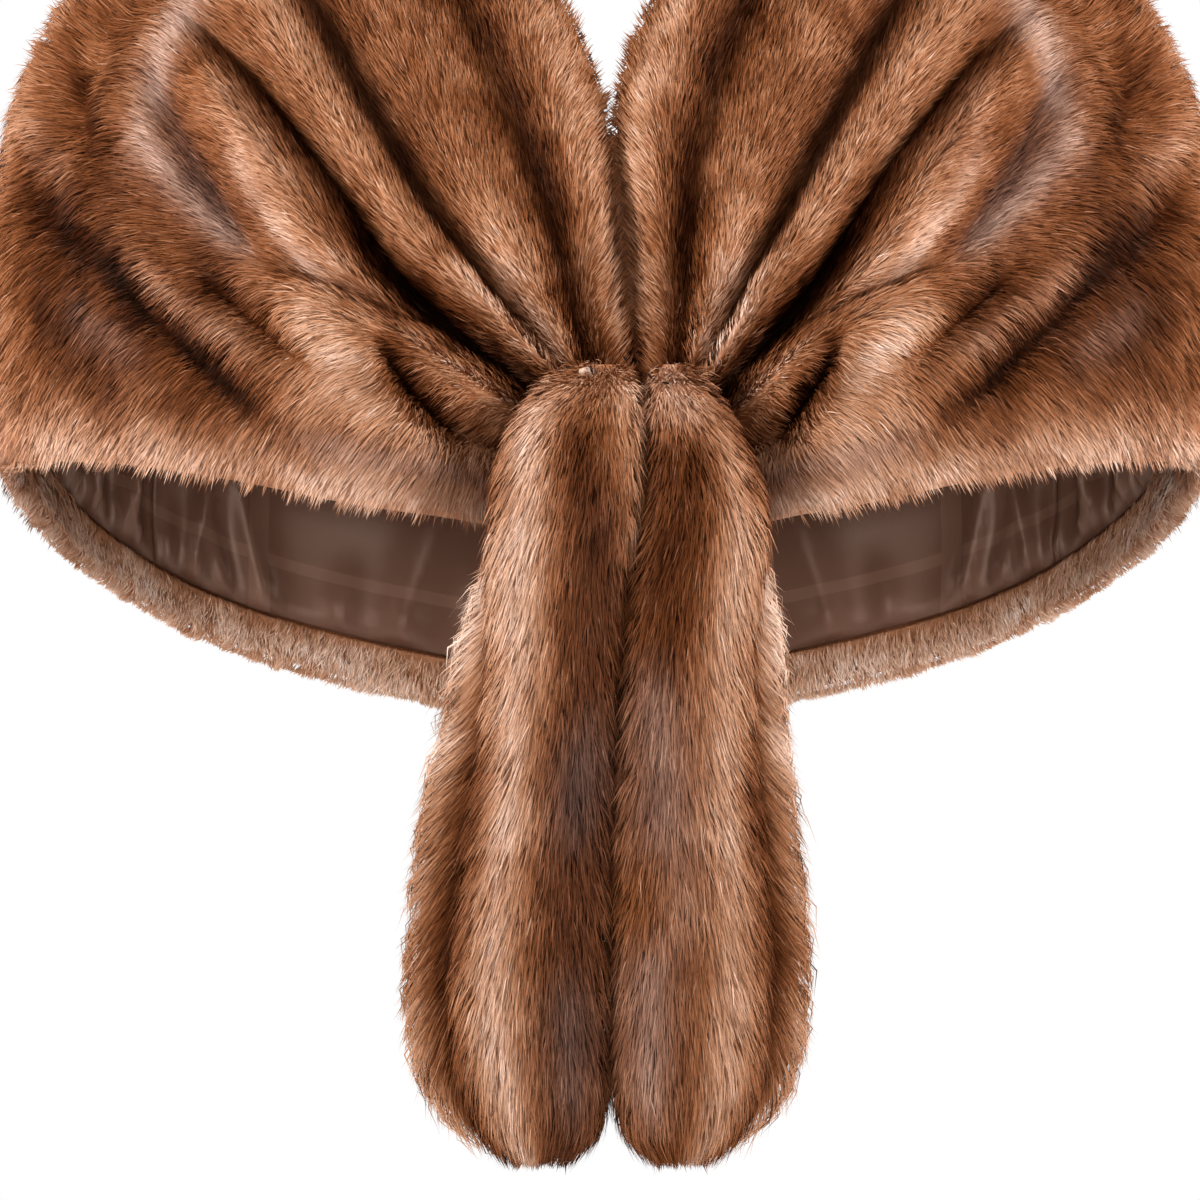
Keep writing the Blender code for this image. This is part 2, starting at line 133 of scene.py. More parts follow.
PINCH_FLATTEN = 0.45    # folds keep this share of their rise at the very end

# Columns: height, shift.
LEAN = (
    (-0.060, 0.001), (-0.138, 0.003), (-0.194, 0.009), (-0.230, 0.013),
    (-0.290, 0.018), (-0.316, 0.017), (-0.360, 0.010), (-0.410, 0.006), (-0.600, 0.002),
)
LEAN_REACH = 0.07

# Columns: height, inner, outer, uneven, middle, half.
FRONT_TAIL = (
    (-0.2500, 0.008, 0.027, 0.003, -0.1313, 0.0025),
    (-0.2560, 0.004, 0.033, 0.005, -0.1380, 0.0065),
    (-0.2660, 0.0005, 0.041, 0.008, -0.1485, 0.0105),
    (-0.2800, 0.0005, 0.049, 0.010, -0.1565, 0.0130),
    (-0.3000, 0.0005, 0.056, 0.009, -0.1630, 0.0145),
    (-0.3300, 0.0005, 0.060, 0.005, -0.1675, 0.0150),
    (-0.3800, 0.0005, 0.057, 0.001, -0.1690, 0.0150),
    (-0.4200, 0.0005, 0.058, 0.000, -0.1695, 0.0150),
    (-0.4700, 0.0005, 0.064, 0.000, -0.1695, 0.0150),
    (-0.5400, 0.0005, 0.067, 0.001, -0.1690, 0.0150),
    (-0.5750, 0.002, 0.063, 0.000, -0.1685, 0.0140),
    (-0.5930, 0.007, 0.055, 0.000, -0.1680, 0.0110),
    (-0.6030, 0.019, 0.043, 0.000, -0.1680, 0.0050),
)
REAR_TAIL = (
    (-0.2780, 0.008, 0.033, 0.001, -0.1370, 0.0020),
    (-0.2950, 0.006, 0.043, 0.001, -0.1420, 0.0035),
    (-0.3200, 0.004, 0.052, 0.002, -0.1465, 0.0045),
    (-0.3450, 0.003, 0.062, 0.002, -0.1465, 0.0065),
    (-0.3750, 0.003, 0.070, 0.002, -0.1465, 0.0075),
    (-0.4100, 0.003, 0.074, 0.002, -0.1465, 0.0075),
    (-0.4500, 0.003, 0.081, 0.002, -0.1465, 0.0075),
    (-0.4950, 0.003, 0.086, 0.002, -0.1465, 0.0075),
    (-0.5400, 0.003, 0.087, 0.002, -0.1465, 0.0075),
    (-0.5700, 0.005, 0.081, 0.002, -0.1465, 0.0070),
    (-0.5880, 0.014, 0.068, 0.002, -0.1465, 0.0050),
    (-0.5960, 0.030, 0.054, 0.001, -0.1465, 0.0025),
)
TAIL_SQUARENESS = 2.6

# ---- sizes of the looks
SKIN_SINK = 0.0035      # the leather lies this far inside the solid, for hair to stand on
SKIN_WALL = 0.0090
GRID_U = 900            # columns of the growing surface, from gather to gather
GRID_V = 180
PAD = 24                # columns and rows that carry the surface on past its edges
PAINT_AT = 0.6          # the share of a hair's reach whose place gives its colour
TAIL_WALL = 0.0030      # thickness of a tail's pelt
TAIL_SINK = 0.003       # and how far it lies inside the solid
TAIL_RINGS = 70         # rings of points down a tail's skin
TAIL_SIDES = 40         # and points round each
TAIL_COLUMNS = 240      # the same on its growing surface
TAIL_ROWS = 120
FACED = 0.355           # the turned-in fur ends here, at both sides, in u
TUCK = 0.027            # the gathered ends run on by this much behind the tails
TUCK_COLUMNS = 23       # the same reach in columns of the growing surface
FACING_WALL_SEEN = 0.003   # the facing's leather, thinner than its solid, under the hair
HAIRS_A_PIECE = 95000   # keeps each piece under 200,000 triangles
BASE_TONE = 0.47        # the strip's fur between its stripes
PAINTED_FOLD_LIGHT = 0.13        # painted highlight on a crest and painted shade in a groove: how much lighter a crest is, and how much darker a groove
BACK_STRIPE = 0.105     # spacing of the stripes down the back, in u
SKIN_DARKER = 0.16      # the underfur on the skins is darker than the hair, by its own colour and by painted shade under the hair
ROOT_DARKER = 0.22      # and so is each hair at its root, partly painted shade
TUFT_SPREAD = 0.026     # random differences in tone from tuft to tuft
HAIR_SPREAD = 0.034     # and from hair to hair
GLINT_TONE = 0.12       # painted glints: the few bright hairs are this much lighter,
GLINT_COOL = 0.20       # and greyer
DARK_SHARE = 0.06       # the share of hairs that are darker
DARK_TONE = 0.10
FACING_TONE = 0.60      # the underfur of the turned-in fur
FACING_COLUMNS = 400    # and its growing surface
FACING_ROWS = 40
CLOTH_WIDTH = 0.62      # metres of lining that the check takes along u
CLOTH_LENGTH = 0.30     # and along v
PUCKER_DEPTH = 2.4      # the lining's puckers are this much deeper than in their table

# Camera, floor and lamps.
VIEW_TARGET = (-0.0024, 0.0, -0.345)
VIEW_ELEVATION = -5.0   # degrees: the camera looks up from a little below
VIEW_DISTANCE = 2.4
VIEW_WIDTH = 0.57       # metres that the camera takes in across the target
FLOOR_REACH = 3.0
FLOOR_HEIGHT = -1.45
LAMP_AIM = (0.0, 0.0, -0.25)

# Colours of the fur from the darkest to the palest, as seen on a screen (0 to 255).
# Columns: tone, red, green, blue.
FUR_TONES = (
    (0.00, 18, 6, 2),
    (0.20, 58, 25, 9),
    (0.40, 106, 59, 31),
    (0.55, 145, 92, 60),
    (0.70, 178, 130, 99),
    (0.85, 206, 168, 143),
    (1.00, 232, 211, 197),
)
PAINTED_GLOSS_GREY = (176, 150, 142)   # painted gloss: the greyish sheen that some stripes show
SATIN = (86, 57, 44)
SATIN_BAND = (97, 68, 54)     # the bands of its plain check
CHECK_SPACING = 0.042
CHECK_BAND = 0.0034           # half the width of a band

# Stripes on the strip's fur, dark below zero and light above: some are stripes of the pelts, most
# are painted highlights on the folds' crests and painted shade in their grooves and hollows.
# Columns: u_start, v_start, u_end, v_end, half_width, tone, painted_gloss, fade.
STRIPES = (
    (0.50, 0.035, 1.10, 0.045, 0.058, +0.22, 0.0, 0.10),   # light band along the neck edge
    (0.58, 0.150, 0.93, 0.148, 0.028, -0.19, 0.0, 0.08),   # darker band beside it
    (0.84, 0.150, 1.06, 0.235, 0.028, -0.22, 0.0, 0.06),
    (0.84, 0.265, 1.04, 0.262, 0.032, +0.28, 0.0, 0.08),   # lit end of the second roll
    # painted shade in the groove under the second roll
    (0.50, 0.300, 0.88, 0.300, 0.024, -0.06, 0.1, 0.10),
    # painted highlight on the third roll
    (0.56, 0.375, 1.04, 0.360, 0.034, +0.10, 0.0, 0.10),
    (0.64, 0.425, 0.82, 0.425, 0.018, +0.08, 0.0, 0.05),   # lit bank over the long groove
    (0.68, 0.462, 0.87, 0.458, 0.012, -0.12, 0.0, 0.04),   # painted shade in the long groove
    # painted shade where the long groove deepens
    (0.85, 0.470, 0.97, 0.462, 0.034, -0.46, 0.0, 0.03),
    (0.88, 0.350, 1.04, 0.345, 0.026, +0.22, 0.0, 0.03),   # lit end of the third roll
    (0.76, 0.478, 1.04, 0.525, 0.038, -0.34, 0.0, 0.08),   # painted shade in the deep hollow
    (0.91, 0.440, 1.06, 0.468, 0.012, +0.34, 0.1, 0.02),   # painted highlight on the thin roll
    (0.555, 0.330, 0.665, 0.640, 0.074, +0.32, 0.75, 0.03),   # painted glossy highlight
    (0.62, 0.640, 0.79, 0.680, 0.028, +0.26, 0.75, 0.05),
    (0.67, 0.510, 0.80, 0.560, 0.028, +0.06, 0.1, 0.05),   # lit crown of the large roll
    (0.80, 0.570, 0.89, 0.600, 0.028, +0.14, 0.1, 0.05),
    (0.70, 0.550, 0.85, 0.640, 0.018, +0.16, 0.4, 0.04),   # painted highlight on its lit edge
    (0.76, 0.575, 0.86, 0.625, 0.034, +0.18, 0.0, 0.03),
    (0.60, 0.560, 0.78, 0.665, 0.024, -0.15, 0.3, 0.05),   # shade on its far side
    (0.82, 0.632, 0.90, 0.575, 0.014, -0.24, 0.1, 0.03),   # painted shade in the crease over the puff
    # painted highlight on the roll that runs to the gather
    (0.88, 0.630, 1.00, 0.660, 0.024, +0.14, 0.0, 0.04),
    (0.46, 0.780, 0.80, 0.850, 0.120, -0.12, 0.0, 0.08),   # darker arm
    (0.36, 0.700, 0.49, 0.760, 0.200, +0.08, 0.0, 0.03),
    (0.49, 0.860, 0.66, 0.910, 0.050, -0.14, 0.0, 0.04),
    (0.54, 0.560, 0.60, 0.700, 0.060, -0.08, 0.0, 0.02),
    # painted shade in the arm's shallow grooves
    (0.40, 0.540, 0.68, 0.728, 0.030, -0.20, 0.0, 0.12),
    (0.38, 0.730, 0.72, 0.821, 0.028, -0.24, 0.0, 0.12),
    (0.40, 0.655, 0.62, 0.770, 0.020, +0.12, 0.2, 0.08),   # painted highlight on the ridge between them
    # painted shade in two more grooves on the arm
    (0.62, 0.795, 0.82, 0.930, 0.030, -0.30, 0.0, 0.06),
    (0.71, 0.735, 0.86, 0.820, 0.022, -0.28, 0.0, 0.05),
    (0.65, 0.775, 0.80, 0.845, 0.022, +0.26, 0.2, 0.04),   # painted highlight on the ridge between them
    (0.56, 0.855, 0.70, 0.900, 0.022, +0.08, 0.4, 0.05),
    (0.79, 0.755, 0.90, 0.775, 0.062, +0.26, 0.0, 0.05),   # painted highlight on the crown of the puff
    (0.76, 0.870, 1.00, 0.860, 0.090, +0.18, 0.0, 0.08),
    (0.875, 0.690, 0.950, 0.850, 0.060, -0.54, 0.0, 0.025),   # painted shade in the dimple
    (0.78, 0.935, 1.00, 0.930, 0.022, -0.02, 0.5, 0.06),   # painted greyish glints over the hem
    (-0.1, 1.000, 1.10, 1.000, 0.042, +0.30, 0.2, 0.08),   # paler fringe, painted as lit
)

# Stripes of the tails' pelts, with painted gloss and painted shade at the turned-away edges, on
# the mean tone of each. down is the share of the length and across goes from the inner edge (0)
# to the outer one (1).
# Columns: down_start, across_start, down_end, across_end, half_width, tone, painted_gloss, fade.
LEFT_TAIL_TONE = 0.42
LEFT_TAIL_STRIPES = (
    (-0.30, 0.50, 0.14, 0.50, 0.60, +0.30, 0.0, 0.10),   # paler head
    (0.02, 0.46, 0.24, 0.42, 0.13, -0.13, 0.0, 0.06),   # dark line down the head
    (0.14, 0.26, 1.30, 0.20, 0.30, -0.14, 0.1, 0.10),   # dark middle of the pelt
    (0.03, 0.88, 1.30, 0.70, 0.24, +0.40, 0.1, 0.09),   # pale flank
    (0.00, 0.10, 0.34, -0.02, 0.16, +0.30, 0.0, 0.08),   # pale inner flank of the head
    (0.42, 0.15, 0.66, 0.35, 0.20, +0.05, 0.55, 0.10),   # painted greyish gloss
    (0.74, 0.30, 0.98, 0.20, 0.16, +0.08, 0.5, 0.08),
    (0.40, 1.02, 1.30, 1.02, 0.09, -0.20, 0.0, 0.20),   # painted shade where the edge turns away
)
RIGHT_TAIL_TONE = 0.43
RIGHT_TAIL_STRIPES = (
    (-0.20, 0.35, 0.16, 0.35, 0.60, +0.36, 0.2, 0.09),   # paler head
    (0.10, 0.34, 0.46, 0.36, 0.30, -0.15, 0.0, 0.08),   # dark brown upper part
    (0.36, 0.20, 0.68, 0.42, 0.24, +0.10, 0.65, 0.10),   # painted greyish gloss
    (0.60, 0.50, 0.78, 0.44, 0.16, +0.14, 0.3, 0.08),
    (0.70, 0.26, 0.98, 0.22, 0.18, +0.15, 0.65, 0.08),
    (0.08, 0.86, 1.30, 0.78, 0.20, +0.32, 0.1, 0.10),   # pale flank
    # painted shade where the edge turns away
    (0.40, 1.02, 1.30, 1.02, 0.08, -0.16, 0.0, 0.20),
)
# The rear tails are painted darker, as shade behind the front tails.
REAR_TAIL_TONE = 0.24
REAR_TAIL_STRIPES = (
    (-0.30, 1.00, 0.60, 1.00, 0.20, +0.62, 0.0, 0.20),   # pale outer edge
    (0.40, 1.02, 1.30, 1.00, 0.14, +0.44, 0.0, 0.20),
)

# Folds and puckers of the lining above its hem seam, mirrored on both sides. Each
# starts at (u, the seam) and runs up by length in v, leaning by lean in u.
# Columns: u, lean, half_width, length, depth.
PUCKERS = (
    (0.348, -0.050, 0.006, 0.22, 0.0040),
    (0.336, -0.020, 0.004, 0.10, 0.0026),
    (0.326, +0.012, 0.006, 0.30, 0.0046),
    (0.312, -0.018, 0.005, 0.14, 0.0030),
    (0.300, -0.040, 0.007, 0.38, 0.0050),
    (0.286, +0.010, 0.004, 0.12, 0.0026),
    (0.276, +0.030, 0.006, 0.26, 0.0042),
    (0.262, -0.014, 0.008, 0.42, 0.0050),
    (0.247, +0.012, 0.004, 0.12, 0.0024),
    (0.236, -0.030, 0.006, 0.30, 0.0036),
    (0.219, +0.022, 0.008, 0.40, 0.0040),
    (0.198, -0.012, 0.005, 0.14, 0.0022),
    (0.180, -0.030, 0.009, 0.46, 0.0036),
    (0.157, +0.014, 0.006, 0.18, 0.0020),
    (0.136, +0.030, 0.009, 0.44, 0.0030),
    (0.104, -0.010, 0.007, 0.16, 0.0016),
    (0.080, -0.030, 0.012, 0.50, 0.0030),
    (0.040, +0.016, 0.009, 0.22, 0.0016),
)

# Which way the hair lies on the chest and the arm, in degrees from along the strip,
# away from the gather, towards the hem.
# Columns: v, turn.
FLOW = (
    (0.00, -48), (0.08, -26), (0.20, -8), (0.45, 0), (0.60, 10),
    (0.70, 34), (0.80, 50), (0.90, 66), (1.00, 80),
)


def smooth_through(x, knots, values):
    """A smooth curve through the values at the knots, read at x."""
    knots = np.asarray(knots, float)
    values = np.asarray(values, float)
    slopes = np.gradient(values, knots, axis=0)
    x = np.clip(np.asarray(x, float), knots[0], knots[-1])
    i = np.clip(np.searchsorted(knots, x, side="right") - 1, 0, len(knots) - 2)
    width = knots[i + 1] - knots[i]
    t = (x - knots[i]) / width
    if values.ndim > 1:
        shape = t.shape + (1,) * (values.ndim - 1)
        t = t.reshape(shape)
        width = width.reshape(shape)
    rise = 3 * t ** 2 - 2 * t ** 3
    return ((1 - rise) * values[i] + rise * values[i + 1]
            + width * (t - 2 * t ** 2 + t ** 3) * slopes[i]
            + width * (t ** 3 - t ** 2) * slopes[i + 1])


RING_TABLE = np.array(RINGS)
RING_LEVELS = np.concatenate(([0.0], np.cumsum(
    np.hypot(np.diff(RING_TABLE[:, 0]), np.diff(RING_TABLE[:, 1])))))
FINE_LEVELS = np.linspace(0.0, RING_LEVELS[-1], 800)
FINE_HEIGHTS = smooth_through(FINE_LEVELS, RING_LEVELS, RING_TABLE[:, 0])


def level_at(height):
    """How far down the figure's side profile a height lies."""
    return np.interp(-np.asarray(height, float), -FINE_HEIGHTS, FINE_LEVELS)


def on_figure(angle, level):
    """The point on the rings at an angle in degrees and a level."""
    height, wide, front, back, square = np.moveaxis(
        smooth_through(level, RING_LEVELS, RING_TABLE), -1, 0)
    turn = np.radians(angle)
    across = np.sin(turn)
    ahead = np.cos(turn)
    x = wide * np.sign(across) * np.abs(across) ** (2 / square)
    depth = np.where(ahead > 0, back, -front)
    return np.stack([x, depth * np.abs(ahead) ** (2 / square), height], -1)


def figure_angle(out, height):
    """The angle round the rings of a point on the back, out from the centre line."""
    _, wide, _, _, square = smooth_through(level_at(height), RING_LEVELS, RING_TABLE)
    return np.degrees(np.arcsin(min(out / wide, 1.0) ** (square / 2)))


def strip_net():
    """The points of the strip at each station along u, for each chest line across v."""
    lines = np.array(CHEST)
    v = lines[:, 0]
    net = []
    for u, neck_out, neck_height, hem_angle, hem_height, spread in WRAP:
        neck_angle = figure_angle(neck_out, neck_height)
        if u > SHOULDER_U:
            neck_angle = 180 - neck_angle
        neck_level = level_at(neck_height)
        angles = hem_angle + (neck_angle - hem_angle) * (1 - v) ** NECK_FAN
        levels = neck_level + (level_at(hem_height) - neck_level) * v ** spread
        net.append(on_figure(angles, levels))
    for place in range(len(CHEST_U)):
        outs = lines[:, 1 + 2 * place]
        heights = lines[:, 2 + 2 * place]
        angles = [180 - figure_angle(out, height) for out, height in zip(outs, heights)]
        net.append(on_figure(angles, level_at(heights)))
    other_side = net[1] * (-1, 1, 1)
    stations = [-WRAP[1][0]] + [row[0] for row in WRAP] + list(CHEST_U)
    return stations, v, np.array([other_side] + net)


STATIONS, LINES, NET = strip_net()


def flat_half(u, v):
    """The right half of the strip without its folds, a grid over the lists u and v."""
    along = smooth_through(u, STATIONS, NET)
    return np.moveaxis(smooth_through(v, LINES, np.moveaxis(along, 1, 0)), 0, 1)


def ramp(x, start, width):
    """A smooth step from 0 to 1 that begins at start."""
    t = np.clip((x - start) / width, 0.0, 1.0)
    return t * t * (3 - 2 * t)


def band(u, v, u_start, v_start, u_end, v_end, half_width, fade):
    """How strongly each place lies on a soft band along the strip, from 0 to 1."""
    place = v_start + (v_end - v_start) * (u - u_start) / (u_end - u_start)
    reach = ramp(u, u_start, fade) * ramp(-u, -u_end, fade)
    return reach * np.exp(-np.abs((v - place) / half_width) ** 1.8)


def folds_at(u, v):
    """How far the folds alone move the strip."""
    total = np.zeros(u.shape)
    for *line, half_width, rise, fade in FOLDS:
        total += rise * band(u, v, *line, half_width, fade)
    return total


def fold_rise(u, v, follow):
    """How far the folds, by a share, and the gather move the strip, over the lists u and v."""
    u, v = np.meshgrid(u, v, indexing="ij")
    pinch = ramp(u, PINCH_START, 1.0 - PINCH_START)
    flatten = 1 - (1 - PINCH_FLATTEN) * pinch
    return folds_at(u, v) * follow * flatten + PINCH_PULL * pinch


def strip(u, v, sink=0.0, follow=1.0):
    """A grid of points over the lists u and v, sunk inwards, following the folds by a share."""
    half = np.abs(u)
    step = 1e-3
    flat = flat_half(half, v)
    along = flat_half(np.minimum(half + step, 1), v) - flat_half(half - step, v)
    across = flat_half(half, np.minimum(v + step, 1)) - flat_half(half, np.maximum(v - step, 0))
    outward = np.cross(along, across)
    outward /= np.linalg.norm(outward, axis=-1, keepdims=True)
    points = flat + outward * (fold_rise(half, v, follow) - sink)[..., None]
    points[..., 0] *= np.where(u < 0, -1.0, 1.0)[:, None]
    return points


def lean_shift(height):
    heights, shifts = np.array(LEAN)[::-1].T
    return smooth_through(height, heights, shifts)


def settle(u, points):
    """Keeps the chest on its own side of the centre line and leans it with that line."""
    chest = np.abs(u) >= ARM_SEAM
    side = np.where(u < 0, -1.0, 1.0)[:, None]
    x = points[..., 0] * side
    points[..., 0] = np.where(chest[:, None], np.maximum(x, SEAM_GAP / 2), x) * side
    near = np.exp(-(points[..., 0] / LEAN_REACH) ** 2) * (points[..., 1] < 0)
    points[..., 0] += lean_shift(points[..., 2]) * near * chest[:, None]
    return points


def unit(vectors):
    return vectors / np.maximum(np.linalg.norm(vectors, axis=-1, keepdims=True), 1e-12)


def linear(colour):
    """Screen values from 0 to 255 as the linear values that Blender wants."""
    share = np.asarray(colour, float) / 255
    return np.where(share < 0.04045, share / 12.92, ((share + 0.055) / 1.055) ** 2.4)


def fur_colour(tone, painted_gloss):
    """The linear colour of fur at a tone from 0 to 1, greyed by painted gloss."""
    table = np.array(FUR_TONES)
    colours = linear(table[:, 1:])
    tone = np.clip(tone, 0, 1)
    warm = np.stack([np.interp(tone, table[:, 0], colours[:, k]) for k in range(3)], -1)
    grey = linear(PAINTED_GLOSS_GREY) * (0.12 + 1.25 * tone[..., None] ** 2)
    share = np.clip(painted_gloss, 0, 1)[..., None] * 0.75
    return warm * (1 - share) + grey * share


# ---- growing surfaces
def blend(grid, i0, i1, j0, j1, a, b):
    """The values between two columns and two rows of a grid, by the shares a and b."""
    return ((grid[i0, j0] * (1 - b) + grid[i0, j1] * b) * (1 - a)
            + (grid[i1, j0] * (1 - b) + grid[i1, j1] * b) * a)


class Pelt:
    """A grid of points that hair grows on, read anywhere between them.

    Columns run along the pelt and rows across it. A closed pelt joins its last row
    to its first.
    """

    def __init__(self, points, closed=False, flip=False):
        self.points = points
        self.closed = closed
        along = np.gradient(points, axis=0)
        if closed:
            across = (np.roll(points, -1, axis=1) - np.roll(points, 1, axis=1)) / 2
        else:
            across = np.gradient(points, axis=1)
        self.along = along
        self.across = across
        normals = unit(np.cross(along, across))
        self.normals = -normals if flip else normals

    def read(self, grid, i, j):
        """The grid's values at fractional columns i and rows j."""
        columns, rows = grid.shape[:2]
        i = np.clip(i, 0, columns - 1.001)
        if self.closed:
            j = j % rows
        else:
            j = np.clip(j, 0, rows - 1.001)
        i0 = i.astype(int)
        j0 = j.astype(int)
        return blend(grid, i0, i0 + 1, j0, (j0 + 1) % rows, (i - i0)[:, None], (j - j0)[:, None])

    def scatter(self, rng, count, columns, rows):
        """Random places, evenly spread over the pelt's area between columns and rows."""
        size = np.linalg.norm(np.cross(self.along, self.across), axis=-1)
        size = size[columns[0]:columns[1], rows[0]:rows[1]]
        chance = np.cumsum(size.ravel())
        pick = np.searchsorted(chance, rng.random(count) * chance[-1])
        width = rows[1] - rows[0]
        i = columns[0] + pick // width + rng.random(count)
        j = rows[0] + pick % width + rng.random(count)
        return i, j


def padded_grid(points):
    """Carries a grid on past its edges in straight lines, fading to even steps."""
    for axis in (0, 1):
        points = np.moveaxis(points, axis, 0)
        reach = np.arange(1, PAD + 1)[:, None, None]
        first = points[0] + (points[0] - points[3]) / 3 * reach
        last = points[-1] + (points[-1] - points[-4]) / 3 * reach
        points = np.concatenate([first[::-1], points, last])
        points = np.moveaxis(points, 0, axis)
    return points


def strip_pelt():
    u = np.linspace(-1, 1, GRID_U + 1)
    v = np.linspace(0, 1, GRID_V + 1)
    return Pelt(padded_grid(settle(u, strip(u, v, SKIN_SINK))))


def strip_place(i, j):
    """u and v of places on the strip's pelt."""
    return (i - PAD) / GRID_U * 2 - 1, (j - PAD) / GRID_V


def strip_column(u):
    """The column of the strip's pelt that lies at u."""
    return int(round((u + 1) / 2 * GRID_U)) + PAD


def tail_points(side, sections, columns, sides, sink=0.0):
    """A grid down and round a tail, with its ends closed in to a point."""
    table = np.array(sections)
    down = np.concatenate(([0.0], np.cumsum(np.hypot(
        np.diff(table[:, 0]), np.diff(table[:, 2])))))
    rows = smooth_through(np.linspace(0, down[-1], columns), down, table)
    turns = np.linspace(0, 2 * np.pi, sides, endpoint=False) * side
    power = 2 / TAIL_SQUARENESS
    across = np.sign(np.cos(turns)) * np.abs(np.cos(turns)) ** power
    through = np.sign(np.sin(turns)) * np.abs(np.sin(turns)) ** power
    grid = np.empty((columns, sides, 3))
    for k, (height, inner, outer, uneven, middle, half) in enumerate(rows):
        reach = outer - uneven * side
        wide = max((reach - inner) / 2 - sink, 0.001)
        thick = max(half - sink, 0.001)
        grid[k, :, 0] = (inner + reach) / 2 * side + lean_shift(height) + wide * across
        grid[k, :, 1] = middle + thick * through
        grid[k, :, 2] = height
    return grid


# ---- hair
def fill(items, field, values, kind=np.float32):
    items.foreach_set(field, np.asarray(values).astype(kind).ravel())


def add_object(name, data):
    thing = bpy.data.objects.new(name, data)
    bpy.context.scene.collection.objects.link(thing)
    return thing


def add_piece(name, mesh, material):
    mesh.materials.append(material)
    piece = add_object(name, mesh)
    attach(piece, "root")
    return piece


def add_mesh(name, points, faces, material):
    mesh = bpy.data.meshes.new(name)
    mesh.from_pydata(points.tolist(), [], faces)
    return add_piece(name, mesh, material)


def paint_points(mesh, colours):
    """Stores a colour at each point, for the fur's material."""
    paint = mesh.color_attributes.new("pelt", "FLOAT_COLOR", "POINT")
    fill(paint.data, "color", np.column_stack([colours, np.ones(len(colours))]))


def hair_mesh(name, roots, middles, tips, wide, normals, root_colour, tip_colour, material):
    """Hairs as narrow leaves, bent in the middle: root, two sides and tip."""
    count = len(roots)
    points = np.stack([roots, middles - wide * 0.5, middles + wide * 0.5, tips], 1)
    base = np.arange(count)[:, None] * 4
    triangles = np.concatenate([base + (0, 2, 1), base + (1, 2, 3)], 1)
    mesh = bpy.data.meshes.new(name)
    mesh.vertices.add(count * 4)
    fill(mesh.vertices, "co", points)
    mesh.loops.add(count * 6)
    fill(mesh.loops, "vertex_index", triangles, np.int32)
    mesh.polygons.add(count * 2)
    fill(mesh.polygons, "loop_start", range(0, count * 6, 3), np.int32)
    mesh.update(calc_edges=True)
    # Each hair has a cell of its own in the UV map OFBake.
    cells = math.ceil(math.sqrt(count))
    corner = np.array([(0.5, 0.1), (0.1, 0.5), (0.9, 0.5), (0.5, 0.9)])
    order = np.array([0, 2, 1, 1, 2, 3])
    cell = np.stack([np.arange(count) % cells, np.arange(count) // cells], -1)
    places = (cell[:, None, :] + corner[order]) / cells
    layer = mesh.uv_layers.new(name="OFBake")
    fill(layer.data, "uv", places)
    middle_colour = root_colour * 0.35 + tip_colour * 0.65
    colours = np.stack([root_colour, middle_colour, middle_colour, tip_colour], 1)
    paint_points(mesh, colours.reshape(-1, 3))
    mesh.normals_split_custom_set_from_vertices(
        np.repeat(normals, 4, axis=0).astype(np.float32))
    return add_piece(name, mesh, material)


def comb(pelt, i, j, turn, length, lift, straight):
    """The root, middle and tip of hairs that lie on a pelt.

    turn is the hair's direction in degrees from backwards along the pelt towards the
    rising rows, lift is how steeply it stands, and straight is how little it follows
    the surface under it.
    """
    root = pelt.read(pelt.points, i, j)
    along = pelt.read(pelt.along, i, j)
    across = pelt.read(pelt.across, i, j)
    normal = unit(pelt.read(pelt.normals, i, j))
    ahead = unit(along)
    side = unit(across - ahead * (across * ahead).sum(-1, keepdims=True))
    angle = np.radians(turn)[:, None]
    flow = -np.cos(angle) * ahead + np.sin(angle) * side
    # Steps in columns and rows that go one metre along the flow.
    aa = (along * along).sum(-1)
    bb = (across * across).sum(-1)
    ab = (along * across).sum(-1)
    fa = (flow * along).sum(-1)
    fb = (flow * across).sum(-1)
    span = np.maximum(aa * bb - ab * ab, 1e-16)
    step_i = (fa * bb - fb * ab) / span
    step_j = (fb * aa - fa * ab) / span
    reach = length * np.cos(lift)
    most = PAD * 0.9

    def place_after(far):
        return i + np.clip(step_i * far, -most, most), j + np.clip(step_j * far, -most, most)

    made = [root]
    # Columns: share of the reach, share of the rise. The middle of a hair, then its tip.
    for share, height in ((0.45, 0.66), (1.0, 1.0)):
        far = reach * share
        rise = (length * np.sin(lift) * height)[:, None]
        over = place_after(far)
        above = unit(pelt.read(pelt.normals, *over))
        bent = pelt.read(pelt.points, *over) + above * rise
        direct = root + flow * far[:, None] + normal * rise
        made.append(bent + (direct - bent) * straight)
    return made, normal, place_after(reach * PAINT_AT)


